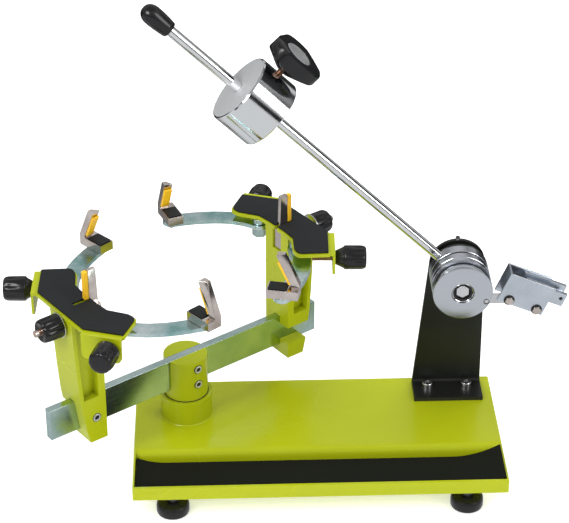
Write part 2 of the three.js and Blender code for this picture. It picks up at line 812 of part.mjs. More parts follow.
// Tension bracket: a bent plate that narrows to a round top, with a welded boss for the axle
function tensionBracket() {
  const face = new THREE.Shape();
  face.moveTo(bracketLeft, seatGap);
  face.lineTo(bracketRight, seatGap);
  face.absarc(drumX, drumHeight, bracketTopRadius, 0, halfTurn, false);
  face.closePath();
  const front = bracketBack - bracketThickness;
  const footFront = bracketBack - bracketFootDepth;
  const top = drumHeight + bracketTopRadius + overrun;
  const bent = sectionSlab(outline([
    [footFront, seatGap], [bracketBack, seatGap, bracketThickness], [bracketBack, top],
    [front, top], [front, bracketThickness, bracketBend], [footFront, bracketThickness],
  ]), bracketLeft, bracketRight);
  const trimmed = toSolid(bent).intersect(toSolid(wallSlab(face, footFront, bracketBack, roundSides / 3)));
  const boss = bar(
    bracketBossRadius, [drumX, clutchBack + runClear, drumHeight], [drumX, bracketBack, drumHeight], roundSides,
  );
  const axleHole = bar(
    axleRadius + screwClear, [drumX, clutchBack, drumHeight], [drumX, bracketBack + overrun, drumHeight],
  );
  const screwHoles = bracketScrewPlaces().map(([x, y]) => bar(
    bracketScrewRadius + screwClear, [x, y, -overrun], [x, y, bracketThickness + overrun],
  ));
  return carve([toGeometry(trimmed), boss], [axleHole, ...screwHoles]);
}

function bracketScrew() {
  const seat = bracketThickness + seatGap;
  const head = bar(bracketScrewHeadRadius, [0, 0, seat], [0, 0, seat + bracketScrewHeadHeight], roundSides / 2);
  const shank = bar(bracketScrewRadius, [0, 0, seat - bracketScrewLength], [0, 0, seat + seatGap]);
  return carve([head, shank]);
}

// Axle bolt along Y from the drum's counterbore to the bracket's back
function axleBolt() {
  const seat = drumFront + counterboreDepth - runClear;
  const head = bar(axleHeadRadius, [drumX, seat - axleHeadLength, drumHeight], [drumX, seat, drumHeight], hexSides);
  const shank = bar(
    axleRadius, [drumX, seat - seatGap, drumHeight], [drumX, bracketBack + axleTail, drumHeight],
  );
  return carve([head, shank]);
}

// Tension drum with a grooved rim, a counterbore for the axle bolt and the link's slot
function tensionDrum() {
  const bore = axleRadius + runClear;
  const profile = [
    [counterboreRadius, 0], [drumRadius - drumChamfer, 0], [drumRadius, drumChamfer],
    [drumRadius, flangeLength], [grooveRadius, flangeLength], [grooveRadius, flangeLength + grooveLength],
    [drumRadius, flangeLength + grooveLength], [drumRadius, drumLength],
    [bore, drumLength], [bore, counterboreDepth], [counterboreRadius, counterboreDepth],
  ];
  const body = turned([...profile, profile[0]]).rotateX(-quarterTurn).translate(drumX, drumFront, drumHeight);
  const linkHeight = drumHeight - linkPinDrop;
  const slot = boxBetween(
    [drumX + linkSlotStart, linkFront - runClear, linkHeight - linkSlotHalf],
    [drumX + drumRadius + overrun, linkFront + linkThickness + runClear, linkHeight + linkSlotHalf],
  );
  const pinHole = bar(
    linkPinRadius + runClear,
    [drumX + linkPinX, drumFront - overrun, linkHeight],
    [drumX + linkPinX, linkFront + linkThickness + linkPinBack, linkHeight],
  );
  return carve([body], [slot, pinHole]);
}

// One-way clutch ring behind the drum, bored for the tension rod
function clutchRing() {
  const bore = axleRadius + runClear;
  const profile = [
    [bore, 0], [drumRadius, 0], [drumRadius, clutchLength - drumChamfer],
    [drumRadius - drumChamfer, clutchLength], [bore, clutchLength],
  ];
  const body = turned([...profile, profile[0]]).rotateX(-quarterTurn).translate(drumX, clutchFront, drumHeight);
  const socket = bar(rodRadius + screwClear, rodPoint(rodSocketEnd), rodPoint(drumRadius + overrun), roundSides);
  return carve([body], [socket]);
}

// A point on the tension rod's axis, at a distance from the drum's axis
function rodPoint(distance) {
  return new THREE.Vector3(drumX, rodY, drumHeight).addScaledVector(rodDirection, distance).toArray();
}

// Turns a shape built along Z so that it lies along the rod, from the drum's axis
function alongRod(geometry) {
  return geometry.rotateY(rodAngle * degree - quarterTurn).translate(drumX, rodY, drumHeight);
}

function tensionRod() {
  return carve([bar(rodRadius, rodPoint(rodSocketEnd + runClear), rodPoint(rodEnd), roundSides)]);
}

function rodCap() {
  const domeStart = capEnd - capRadius;
  const bore = rodRadius + screwClear;
  const profile = [[bore, capStart], [capMouthRadius, capStart], [capRadius, domeStart]];
  for (let i = 1; i < capDomeSteps; i += 1) {
    const turn = quarterTurn * i / capDomeSteps;
    profile.push([capRadius * Math.cos(turn), domeStart + capRadius * Math.sin(turn)]);
  }
  profile.push([0, capEnd], [0, rodEnd + seatGap], [bore, rodEnd + seatGap]);
  return carve([alongRod(turned([...profile, profile[0]], roundSides))]);
}

function dropWeight() {
  const low = weightStation - weightLength / 2;
  const high = weightStation + weightLength / 2;
  const bore = rodRadius + runClear;
  const profile = [
    [bore, low], [weightRadius - weightChamfer, low], [weightRadius, low + weightChamfer],
    [weightRadius, high - weightChamfer], [weightRadius - weightChamfer, high], [bore, high],
  ];
  const screwStation = weightStation + weightKnobOffset;
  const screwBore = bar(weightScrewRadius + runClear, [0, 0, screwStation], [weightRadius + overrun, 0, screwStation]);
  return carve([alongRod(turned([...profile, profile[0]]))], [alongRod(screwBore)]);
}

// Three-lobed clamping knob with a conical underside, its screw reaching in to the rod
function weightKnob() {
  const points = [];
  for (let i = 0; i < roundSides; i += 1) {
    const turn = 2 * halfTurn * i / roundSides;
    const swell = (1 + Math.cos(weightKnobLobes * turn)) / 2;
    const radius = weightKnobWaist + (weightKnobRadius - weightKnobWaist) * swell;
    points.push(new THREE.Vector2(radius * Math.cos(turn), radius * Math.sin(turn)));
  }
  const rim = weightKnobFoot + weightKnobHubHeight;
  const top = rim + weightKnobThickness;
  const reach = weightKnobRadius + seatGap;
  const cone = turned([[0, weightKnobFoot], [weightKnobHubRadius, weightKnobFoot], [reach, rim], [reach, top], [0, top]]);
  const head = toSolid(slab(new THREE.Shape(points), weightKnobFoot, top)).intersect(toSolid(cone));
  const screw = bar(weightScrewRadius, [0, 0, rodRadius + runClear], [0, 0, weightKnobFoot + seatGap]);
  const knob = carve([toGeometry(head), screw]);
  return alongRod(knob.rotateY(quarterTurn).translate(0, 0, weightStation + weightKnobOffset));
}

// Link from the drum's pin to the gripper's left bolt, with the pin fixed in it
function gripperLink() {
  const shape = new THREE.Shape();
  shape.absarc(0, 0, linkHalfWidth, quarterTurn, -quarterTurn, false);
  shape.absarc(linkLength, 0, linkHalfWidth, -quarterTurn, quarterTurn, false);
  shape.closePath();
  const body = wallSlab(shape, linkFront, linkFront + linkThickness, smallSides / 2);
  const pin = bar(
    linkPinRadius, [0, drumFront + seatGap, 0], [0, linkFront + linkThickness + linkPinBack - runClear, 0],
  );
  const boltHole = bar(
    gripperBoltRadius + runClear,
    [linkLength, linkFront - overrun, 0], [linkLength, linkFront + linkThickness + overrun, 0],
  );
  return carve([body, pin], [boltHole]);
}

// Gripper frame: front and rear plates joined by a web at the drum's end
function gripperFrame() {
  const low = -gripperBoltRise;
  const high = gripperHeight - gripperBoltRise;
  const left = -gripperBoltInset;
  const right = gripperLength - gripperBoltInset;
  const back = gripperFront + gripperDepth;
  const bodies = [
    boxBetween([left, gripperFront, low], [right, gripperFront + gripperPlate, high]),
    boxBetween([left, back - gripperPlate, low], [right, back, high]),
    boxBetween([left, gripperFront, gripperWebBottom], [left + gripperPlate, back, high]),
  ];
  const holes = [0, gripperBoltSpacing].map((x) => bar(
    gripperBoltRadius + screwClear, [x, gripperFront - overrun, 0], [x, back + overrun, 0],
  ));
  return carve(bodies, holes);
}

function gripperBolt() {
  const seat = gripperFront - seatGap;
  const head = bar(gripperBoltHeadRadius, [0, seat - gripperBoltHeadLength, 0], [0, seat, 0], hexSides);
  const shank = bar(gripperBoltRadius, [0, seat - seatGap, 0], [0, gripperFront + gripperDepth, 0]);
  return carve([head, shank]);
}

// Sliding jaw between the gripper's plates, stepped down at its far end
function gripperJaw() {
  const left = gripperPlate + runClear - gripperBoltInset;
  const front = gripperFront + gripperPlate + runClear;
  const back = gripperFront + gripperDepth - gripperPlate - runClear;
  const high = gripperHeight - gripperBoltRise - jawTopDrop;
  const right = left + jawLength;
  const body = boxBetween([left, front, jawBottom], [right, back, high]);
  const hole = bar(
    jawHoleRadius,
    [right - jawHoleInset, front - overrun, (jawBottom + high) / 2],
    [right - jawHoleInset, back + overrun, (jawBottom + high) / 2], smallSides / 2,
  );
  const relief = boxBetween(
    [gripperLength - gripperBoltInset, front - overrun, high - jawRelief],
    [right + overrun, (front + back) / 2, high + overrun],
  );
  return carve([body], [hole, relief]);
}

// Assembly
const machine = new THREE.Group();

function buildBase() {
  addPiece(machine, 'base_pan', 'limePaint', basePan());
  addPiece(machine, 'tray_mat', 'matRubber', trayMat());
  const feet = {
    front_left: [-1, footFrontInset, -panHeight],
    front_right: [1, footFrontInset, -panHeight],
    rear_left: [-1, baseDepth - footRearInset, -sheet],
    rear_right: [1, baseDepth - footRearInset, -sheet],
  };
  for (const [place, [side, y, sheetBottom]] of Object.entries(feet)) {
    const piece = addPiece(machine, `foot_${place}`, 'blackRubber', foot(sheetBottom));
    piece.position.set(side * (baseLength / 2 - footInsetX), y, 0);
  }
}

function buildTurntable() {
  const turntable = new THREE.Group();
  turntable.position.set(swivelX, swivelY, 0);
  turntable.rotation.z = turntableAngle * degree;
  machine.add(turntable);
  addPiece(turntable, 'swivel_post', 'limePaint', swivelPost());
  addPiece(turntable, 'swivel_bolt', 'steelScrew', swivelBolt());
  for (const [level, rise] of Object.entries(postScrewRises)) {
    const screw = addPiece(turntable, `post_screw_${level}`, 'steelScrew', setScrew(postRadius));
    screw.position.z = beamBottom + rise;
  }
  addPiece(turntable, 'slide_beam', 'zinc', slideBeam());
  for (const end of ['left', 'right']) buildHead(turntable, end);
}

function buildHead(turntable, end) {
  const head = new THREE.Group();
  const setback = beamLength / 2 - headSetback[end];
  head.position.x = end === 'left' ? -setback : setback;
  head.rotation.z = end === 'left' ? 0 : halfTurn;
  turntable.add(head);
  addPiece(head, `upright_${end}`, 'limePaint', upright());
  const screw = addPiece(head, `upright_screw_${end}`, 'steelScrew', setScrew(uprightHalf));
  screw.position.set(...uprightScrewPlace());
  addPiece(head, `head_plate_${end}`, 'limePaint', headPlate());
  addPiece(head, `head_pad_${end}`, 'blackRubber', headPad());
  addPiece(head, `centre_support_${end}`, 'chrome', centreSupport(end));
  addPiece(head, `centre_pad_${end}`, 'yellowPad', centrePad(bladeReach[end]));
  const knob = addPiece(head, `centre_knob_${end}`, 'blackPlastic', centreKnob());
  knob.position.set(centreKnobFace(end), 0, centreRodHeight);
  for (const place of ['rear', 'front']) buildArm(head, end, place);
}

// The right head is turned round, so its rear arm lies on its own -Y side
function buildArm(head, end, place) {
  const side = (place === 'rear') === (end === 'left') ? 1 : -1;
  const armAngle = armAngles[end][place];
  const name = `${end}_${place}`;
  const arm = new THREE.Group();
  arm.position.set(armPivotReach, side * armPivotHalf, 0);
  arm.rotation.z = side * armAngle * degree;
  head.add(arm);
  addPiece(arm, `swing_arm_${name}`, 'zinc', swingArm(side));
  const bolt = addPiece(head, `arm_bolt_${name}`, 'zinc', armBolt());
  bolt.position.copy(arm.position);
  const knob = armKnob(armEdgeDepth(armAngle), armKnobGaps[end][place]).translate(side * armKnobTipShift, 0, 0);
  addPiece(head, `arm_knob_${name}`, 'blackPlastic', atWingEdge(knob, side));
  const hook = new THREE.Group();
  hook.position.x = armLength;
  hook.rotation.z = hookAngles[end][place] * degree - arm.rotation.z;
  arm.add(hook);
  addPiece(hook, `shoulder_hook_${name}`, 'chrome', shoulderHook());
  addPiece(hook, `grip_pad_${name}`, 'yellowPad', gripPad());
}

function buildTensioner() {
  addPiece(machine, 'tension_bracket', 'blackPaint', tensionBracket());
  bracketScrewPlaces().forEach(([x, y], i) => {
    const name = i === 0 ? 'bracket_screw_left' : 'bracket_screw_right';
    addPiece(machine, name, 'chrome', bracketScrew()).position.set(x, y, 0);
  });
  addPiece(machine, 'axle_bolt', 'chrome', axleBolt());
  addPiece(machine, 'tension_drum', 'turnedSteel', tensionDrum());
  addPiece(machine, 'clutch_ring', 'turnedSteel', clutchRing());
  addPiece(machine, 'tension_rod', 'chrome', tensionRod());
  addPiece(machine, 'rod_cap', 'blackPlastic', rodCap());
  addPiece(machine, 'drop_weight', 'chrome', dropWeight());
  addPiece(machine, 'weight_knob', 'blackPlastic', weightKnob());
}

function buildGripper() {
  const linkX = drumX + linkPinX;
  const linkZ = drumHeight - linkPinDrop;
  addPiece(machine, 'gripper_link', 'turnedSteel', gripperLink()).position.set(linkX, 0, linkZ);
  const gripper = new THREE.Group();
  gripper.position.set(linkX + linkLength, 0, linkZ);
  gripper.rotation.y = gripperAngle * degree;
  machine.add(gripper);
  addPiece(gripper, 'gripper_frame', 'zinc', gripperFrame());
  addPiece(gripper, 'gripper_bolt_near', 'steelScrew', gripperBolt());
  addPiece(gripper, 'gripper_bolt_far', 'steelScrew', gripperBolt()).position.x = gripperBoltSpacing;
  addPiece(gripper, 'gripper_jaw', 'zinc', gripperJaw());
}

buildBase();
buildTurntable();
buildTensioner();
buildGripper();

// The origin moves to the middle of the footprint, on the surface that the feet stand on
const bounds = new THREE.Box3().setFromObject(machine, true);
const middle = bounds.getCenter(new THREE.Vector3());
machine.position.set(-middle.x, -middle.y, -bounds.min.z);

const part = new THREE.Group();
part.add(machine);
part.updateMatrixWorld(true);

export default part;
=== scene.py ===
import json
import math

import bmesh
import bpy
from mathutils import Matrix, Vector


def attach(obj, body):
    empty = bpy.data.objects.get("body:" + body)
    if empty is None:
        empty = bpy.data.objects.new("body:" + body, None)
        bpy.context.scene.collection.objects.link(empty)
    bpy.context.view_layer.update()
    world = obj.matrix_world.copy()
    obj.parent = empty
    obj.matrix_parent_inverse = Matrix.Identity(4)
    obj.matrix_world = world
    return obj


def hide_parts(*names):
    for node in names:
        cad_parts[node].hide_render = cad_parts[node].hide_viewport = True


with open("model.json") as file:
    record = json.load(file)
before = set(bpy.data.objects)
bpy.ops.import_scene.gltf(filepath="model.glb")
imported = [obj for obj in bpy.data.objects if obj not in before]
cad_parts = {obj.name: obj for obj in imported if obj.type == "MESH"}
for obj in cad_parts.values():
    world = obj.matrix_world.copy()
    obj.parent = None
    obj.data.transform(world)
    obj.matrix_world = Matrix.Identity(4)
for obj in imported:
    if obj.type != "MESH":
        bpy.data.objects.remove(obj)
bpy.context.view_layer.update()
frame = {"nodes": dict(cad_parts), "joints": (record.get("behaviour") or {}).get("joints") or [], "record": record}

# Racket stringing machine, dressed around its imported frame. Lengths in the dictionaries are millimetres.
mm = 0.001
# the offset from the places that the part's source uses to the frame's places
shiftX, shiftY, shiftZ = 32.6268, -152.8256, 47.0
joints = {joint["name"]: joint for joint in frame["joints"]}
bodyOf = {
    node: body
    for body, members in frame["record"]["behaviour"]["bodies"].items()
    for node in members
}
ends = ("left", "right")
arms = ("left_rear", "left_front", "right_rear", "right_front")


def jointPoint(name):
    return Vector(joints[name]["pos_m"])


def jointAxis(name):
    return Vector(joints[name]["axis"]).normalized()


def addNode(tree, kind, values=None, **settings):
    node = tree.nodes.new(kind)
    for name, value in settings.items():
        setattr(node, name, value)
    for name, value in (values or {}).items():
        node.inputs[name].default_value = value
    return node


def wire(tree, source, target):
    tree.links.new(source, target)


def newGroup(name, inputs, outputs):
    # inputs are (name, socket type, default), outputs are (name, socket type)
    tree = bpy.data.node_groups.new(name, "ShaderNodeTree")
    for label, kind, default in inputs:
        socket = tree.interface.new_socket(name=label, in_out="INPUT", socket_type=kind)
        if default is not None:
            socket.default_value = default
    for label, kind in outputs:
        tree.interface.new_socket(name=label, in_out="OUTPUT", socket_type=kind)
    return tree, tree.nodes.new("NodeGroupInput"), tree.nodes.new("NodeGroupOutput")


def buildSkinGroup():
    # fine pebbles and slow swells of a cast, sprayed or moulded skin
    tree, into, out = newGroup(
        "sprayedSkin",
        [("Vector", "NodeSocketVector", None), ("Fine", "NodeSocketFloat", 900.0),
         ("Slow", "NodeSocketFloat", 14.0), ("Swell", "NodeSocketFloat", 0.3)],
        [("Height", "NodeSocketFloat"), ("Tone", "NodeSocketFloat")],
    )
    fine = addNode(tree, "ShaderNodeTexNoise", {"Detail": 2.0, "Roughness": 0.5})
    slow = addNode(tree, "ShaderNodeTexNoise", {"Detail": 3.0, "Roughness": 0.55})
    lift = addNode(tree, "ShaderNodeMath", operation="MULTIPLY")
    total = addNode(tree, "ShaderNodeMath", operation="ADD")
    wire(tree, into.outputs["Vector"], fine.inputs["Vector"])
    wire(tree, into.outputs["Fine"], fine.inputs["Scale"])
    wire(tree, into.outputs["Vector"], slow.inputs["Vector"])
    wire(tree, into.outputs["Slow"], slow.inputs["Scale"])
    wire(tree, slow.outputs["Fac"], lift.inputs[0])
    wire(tree, into.outputs["Swell"], lift.inputs[1])
    wire(tree, fine.outputs["Fac"], total.inputs[0])
    wire(tree, lift.outputs[0], total.inputs[1])
    wire(tree, total.outputs[0], out.inputs["Height"])
    wire(tree, slow.outputs["Fac"], out.inputs["Tone"])
    return tree


def buildBrushGroup():
    # long fine streaks along X, as drawn or ground bar has
    tree, into, out = newGroup(
        "drawnStreaks",
        [("Vector", "NodeSocketVector", None), ("Fineness", "NodeSocketFloat", 900.0),
         ("Length", "NodeSocketFloat", 0.03)],
        [("Streak", "NodeSocketFloat"), ("Cloud", "NodeSocketFloat")],
    )
    squeeze = addNode(tree, "ShaderNodeCombineXYZ", {"Y": 1.0, "Z": 1.0})
    stretched = addNode(tree, "ShaderNodeVectorMath", operation="MULTIPLY")
    streak = addNode(tree, "ShaderNodeTexNoise", {"Detail": 5.0, "Roughness": 0.62})
    cloud = addNode(tree, "ShaderNodeTexNoise", {"Scale": 26.0, "Detail": 4.0, "Roughness": 0.6})
    wire(tree, into.outputs["Length"], squeeze.inputs["X"])
    wire(tree, into.outputs["Vector"], stretched.inputs[0])
    wire(tree, squeeze.outputs[0], stretched.inputs[1])
    wire(tree, stretched.outputs[0], streak.inputs["Vector"])
    wire(tree, into.outputs["Fineness"], streak.inputs["Scale"])
    wire(tree, into.outputs["Vector"], cloud.inputs["Vector"])
    wire(tree, streak.outputs["Fac"], out.inputs["Streak"])
    wire(tree, cloud.outputs["Fac"], out.inputs["Cloud"])
    return tree


def buildTurningGroup():
    # rings round Z, as a lathe tool leaves them
    tree, into, out = newGroup(
        "latheRings",
        [("Vector", "NodeSocketVector", None), ("Pitch", "NodeSocketFloat", 2600.0)],
        [("Ring", "NodeSocketFloat")],
    )
    flat = addNode(tree, "ShaderNodeVectorMath", operation="MULTIPLY")
    flat.inputs[1].default_value = (1, 1, 0)
    reach = addNode(tree, "ShaderNodeVectorMath", operation="LENGTH")
    parts = addNode(tree, "ShaderNodeSeparateXYZ")
    depth = addNode(tree, "ShaderNodeMath", operation="MULTIPLY_ADD")
    depth.inputs[1].default_value = 1.0
    ring = addNode(tree, "ShaderNodeTexNoise", {"Detail": 4.0, "Roughness": 0.7}, noise_dimensions="1D")
    wire(tree, into.outputs["Vector"], flat.inputs[0])
    wire(tree, flat.outputs[0], reach.inputs[0])
    wire(tree, into.outputs["Vector"], parts.inputs[0])
    wire(tree, parts.outputs["Z"], depth.inputs[0])
    wire(tree, reach.outputs["Value"], depth.inputs[2])
    wire(tree, depth.outputs[0], ring.inputs["W"])
    wire(tree, into.outputs["Pitch"], ring.inputs["Scale"])
    wire(tree, ring.outputs["Fac"], out.inputs["Ring"])
    return tree


def buildEdgeGroup():
    # painted edge highlight: a mask on sharp corners, where the colour is lightened, broken up by a noise
    tree, into, out = newGroup(
        "rubbedEdges",
        [("Vector", "NodeSocketVector", None), ("Start", "NodeSocketFloat", 0.52),
         ("End", "NodeSocketFloat", 0.62)],
        [("Mask", "NodeSocketFloat")],
    )
    shape = addNode(tree, "ShaderNodeNewGeometry")
    reach = addNode(tree, "ShaderNodeMapRange")
    patches = addNode(tree, "ShaderNodeTexNoise", {"Scale": 160.0, "Detail": 4.0, "Roughness": 0.6})
    both = addNode(tree, "ShaderNodeMath", operation="MULTIPLY")
    wire(tree, shape.outputs["Pointiness"], reach.inputs["Value"])
    wire(tree, into.outputs["Start"], reach.inputs["From Min"])
    wire(tree, into.outputs["End"], reach.inputs["From Max"])
    wire(tree, into.outputs["Vector"], patches.inputs["Vector"])
    wire(tree, reach.outputs["Result"], both.inputs[0])
    wire(tree, patches.outputs["Fac"], both.inputs[1])
    wire(tree, both.outputs[0], out.inputs["Mask"])
    return tree


def buildScratchGroup():
    # sparse hairline scratches and faint finger marks of polished metal
    tree, into, out = newGroup(
        "handlingMarks",
        [("Vector", "NodeSocketVector", None)],
        [("Scratch", "NodeSocketFloat"), ("Smudge", "NodeSocketFloat")],
    )
    bend = addNode(tree, "ShaderNodeTexNoise", {"Scale": 30.0, "Detail": 2.0})
    wander = addNode(tree, "ShaderNodeVectorMath", operation="MULTIPLY_ADD")
    wander.inputs[1].default_value = (0.05, 0.05, 0.05)
    cells = addNode(tree, "ShaderNodeTexVoronoi", {"Scale": 90.0}, feature="DISTANCE_TO_EDGE")
    thin = addNode(tree, "ShaderNodeMapRange",
                   {"From Min": 0.0, "From Max": 0.02, "To Min": 1.0, "To Max": 0.0})
    smudge = addNode(tree, "ShaderNodeTexNoise", {"Scale": 42.0, "Detail": 5.0, "Roughness": 0.65})
    wire(tree, into.outputs["Vector"], bend.inputs["Vector"])
    wire(tree, bend.outputs["Color"], wander.inputs[0])
    wire(tree, into.outputs["Vector"], wander.inputs[2])
    wire(tree, wander.outputs[0], cells.inputs["Vector"])
    wire(tree, cells.outputs["Distance"], thin.inputs["Value"])
    wire(tree, into.outputs["Vector"], smudge.inputs["Vector"])
    wire(tree, thin.outputs["Result"], out.inputs["Scratch"])
    wire(tree, smudge.outputs["Fac"], out.inputs["Smudge"])
    return tree


effects = {
    "skin": buildSkinGroup(), "brush": buildBrushGroup(), "turning": buildTurningGroup(),
    "edges": buildEdgeGroup(), "marks": buildScratchGroup(),
}
print("effect groups built:", ", ".join(effects))


class LookBench:
    # one material being wired: its shader, its pattern coordinates and its bump
    def __init__(self, name, values, turn=(0, 0, 0), centre=(0, 0, 0)):
        self.material = bpy.data.materials.new(name)
        self.material.use_nodes = True
        self.tree = self.material.node_tree
        self.shader = self.tree.nodes["Principled BSDF"]
        for label, value in values.items():
            self.shader.inputs[label].default_value = value
        place = addNode(self.tree, "ShaderNodeTexCoord")
        mapping = addNode(self.tree, "ShaderNodeMapping", vector_type="TEXTURE")
        mapping.inputs["Location"].default_value = centre
        mapping.inputs["Rotation"].default_value = turn
        wire(self.tree, place.outputs["Object"], mapping.inputs["Vector"])
        self.vector = mapping.outputs["Vector"]

    def effect(self, name, **values):
        node = self.tree.nodes.new("ShaderNodeGroup")
        node.node_tree = effects[name]
        for label, value in values.items():
            node.inputs[label].default_value = value
        wire(self.tree, self.vector, node.inputs["Vector"])
        return node

    def spread(self, source, low, high, label):
        # a mask spread between two numbers, onto one of the shader's sockets
        span = addNode(self.tree, "ShaderNodeMapRange",
                       {"From Min": 0.2, "From Max": 0.8, "To Min": low, "To Max": high})
        wire(self.tree, source, span.inputs["Value"])
        wire(self.tree, span.outputs["Result"], self.shader.inputs[label])

    def tint(self, source, first, second, start=0.2, stop=0.8):
        # a mask turned into two colours
        ramp = addNode(self.tree, "ShaderNodeValToRGB")
        ramp.color_ramp.elements[0].position = start
        ramp.color_ramp.elements[0].color = (*first, 1)
        ramp.color_ramp.elements[1].position = stop
        ramp.color_ramp.elements[1].color = (*second, 1)
        wire(self.tree, source, ramp.inputs["Fac"])
        return ramp.outputs["Color"]

    def layer(self, under, mask, over):
        mix = addNode(self.tree, "ShaderNodeMix", data_type="RGBA")
        mix.inputs[7].default_value = (*over, 1)
        wire(self.tree, mask, mix.inputs[0])
        wire(self.tree, under, mix.inputs[6])
        return mix.outputs[2]

    def colour(self, source):
        wire(self.tree, source, self.shader.inputs["Base Color"])

    def bump(self, source, strength, distance):
        relief = addNode(self.tree, "ShaderNodeBump", {"Strength": strength, "Distance": distance})
        wire(self.tree, source, relief.inputs["Height"])
        previous = self.shader.inputs["Normal"].links
        if previous:
            wire(self.tree, previous[0].from_socket, relief.inputs["Normal"])
        wire(self.tree, relief.outputs["Normal"], self.shader.inputs["Normal"])


looks = {}


def paintLook(name, first, second, edgeHighlight, rough, coat, peel, shine):
    # sprayed paint or moulded plastic under a thin coat
    bench = LookBench(name, {"Coat Weight": coat, "Coat Roughness": 0.06, "Specular IOR Level": shine})
    skin = bench.effect("skin", Fine=620.0, Slow=9.0, Swell=0.12)
    edges = bench.effect("edges", Start=0.55, End=0.68)
    body = bench.tint(skin.outputs["Tone"], first, second)
    # sharp corners take the lighter edge highlight colour: a painted edge highlight
    bench.colour(bench.layer(body, edges.outputs["Mask"], edgeHighlight))
    bench.spread(skin.outputs["Tone"], rough - 0.04, rough + 0.06, "Roughness")
    bench.bump(skin.outputs["Height"], peel, 0.0004)
    looks[name] = bench.material


def rubberLook(name, first, second, rough, grain, depth, shine=0.2):
    # dull moulded skin with a fine grain
    bench = LookBench(name, {"Specular IOR Level": shine})
    skin = bench.effect("skin", Fine=grain, Slow=20.0, Swell=0.2)
    edges = bench.effect("edges", Start=0.53, End=0.66)
    body = bench.tint(skin.outputs["Height"], first, second, 0.35, 0.8)
    # sharp corners painted in this lighter colour: a painted edge highlight
    edgeHighlightColour = tuple(min(1, part * 1.6 + 0.005) for part in second)
    bench.colour(bench.layer(body, edges.outputs["Mask"], edgeHighlightColour))
    bench.spread(skin.outputs["Tone"], rough - 0.06, rough + 0.08, "Roughness")
    bench.bump(skin.outputs["Height"], depth, 0.0005)
    looks[name] = bench.material


def plateLook(name, first, second, rough, turn=(0, 0, 0), fineness=1500.0, length=0.03, depth=0.12,
              vary=0.09):
    # zinc or nickel plate over drawn or ground steel
    bench = LookBench(name, {"Metallic": 1.0}, turn=turn)
    brush = bench.effect("brush", Fineness=fineness, Length=length)
    marks = bench.effect("marks")
    edges = bench.effect("edges", Start=0.54, End=0.66)
    body = bench.tint(brush.outputs["Cloud"], first, second, 0.32, 0.68)
    # sharp corners painted in this lighter colour: a painted edge highlight
    edgeHighlightColour = tuple(min(1, part * 1.25) for part in second)
    bench.colour(bench.layer(body, edges.outputs["Mask"], edgeHighlightColour))
    bench.spread(brush.outputs["Streak"], rough - vary, rough + vary, "Roughness")
    bench.bump(brush.outputs["Streak"], depth, 0.0002)
    bench.bump(marks.outputs["Scratch"], 0.05, 0.0001)
    looks[name] = bench.material


def polishLook(name, first, second, rough):
    # polished chrome with finger marks
    bench = LookBench(name, {"Metallic": 1.0})
    marks = bench.effect("marks")
    bench.colour(bench.tint(marks.outputs["Smudge"], first, second))
    bench.spread(marks.outputs["Smudge"], rough, rough + 0.05, "Roughness")
    bench.bump(marks.outputs["Scratch"], 0.04, 0.0001)
    looks[name] = bench.material


def turnedLook(name, first, second, rough, centre, turn, depth=0.18):
    # lathe-turned steel, its rings round the centre
    bench = LookBench(name, {"Metallic": 1.0}, turn=turn, centre=centre)
    rings = bench.effect("turning", Pitch=2600.0)
    marks = bench.effect("marks")
    bench.colour(bench.tint(rings.outputs["Ring"], first, second))
    bench.spread(marks.outputs["Smudge"], rough - 0.03, rough + 0.07, "Roughness")
    bench.bump(rings.outputs["Ring"], depth, 0.0002)
    looks[name] = bench.material


beamTurn = math.atan2(jointAxis("left_head_slide").y, jointAxis("left_head_slide").x)
rodTurn = math.atan2(jointAxis("weight_slide").x, jointAxis("weight_slide").z)
drumCentre = jointPoint("drum_turn")
weightCentre = jointPoint("weight_knob_spin")

# each paint's third colour is its painted edge highlight, lighter than the paint itself
paintLook("limePaint", (0.405, 0.455, 0.005), (0.37, 0.42, 0.006), (0.60, 0.64, 0.03),
          0.27, 0.15, 0.012, 0.22)
paintLook("bracketPaint", (0.007, 0.008, 0.006), (0.011, 0.012, 0.010), (0.04, 0.04, 0.036),
          0.38, 0.1, 0.1, 0.3)
paintLook("knobPlastic", (0.005, 0.005, 0.006), (0.008, 0.008, 0.009), (0.02, 0.02, 0.023),
          0.24, 0.2, 0.03, 0.35)
rubberLook("matRubber", (0.006, 0.007, 0.005), (0.010, 0.011, 0.008), 0.75, 1500.0, 0.3, 0.1)
rubberLook("padRubber", (0.010, 0.011, 0.012), (0.016, 0.018, 0.019), 0.6, 1900.0, 0.2)
rubberLook("footRubber", (0.005, 0.005, 0.005), (0.010, 0.010, 0.010), 0.3, 1300.0, 0.1, 0.4)
rubberLook("yellowPlastic", (0.86, 0.42, 0.008), (0.93, 0.55, 0.02), 0.4, 900.0, 0.05, 0.4)
# the teal tint in zincBar and in the arms' plate is a painted reflection, put into the metal's colour
plateLook("zincBar", (0.34, 0.48, 0.46), (0.54, 0.65, 0.64), 0.2, turn=(0, 0, beamTurn), depth=0.05)
plateLook("tealZinc", (0.26, 0.49, 0.48), (0.74, 0.83, 0.85), 0.24, fineness=300.0, length=0.3,
          depth=0.01, vary=0.03)
plateLook("gripZinc", (0.56, 0.61, 0.68), (0.70, 0.75, 0.82), 0.3, length=0.15, depth=0.08)
plateLook("hookNickel", (0.50, 0.43, 0.39), (0.76, 0.69, 0.65), 0.13, fineness=300.0, length=0.4,
          depth=0.01, vary=0.03)
plateLook("copperThread", (0.40, 0.24, 0.17), (0.62, 0.43, 0.33), 0.26, fineness=900.0, length=0.6)
plateLook("darkSteel", (0.10, 0.10, 0.11), (0.20, 0.20, 0.21), 0.3, length=0.5)
plateLook("brightSteel", (0.62, 0.63, 0.64), (0.80, 0.80, 0.81), 0.16, length=0.5, depth=0.05)
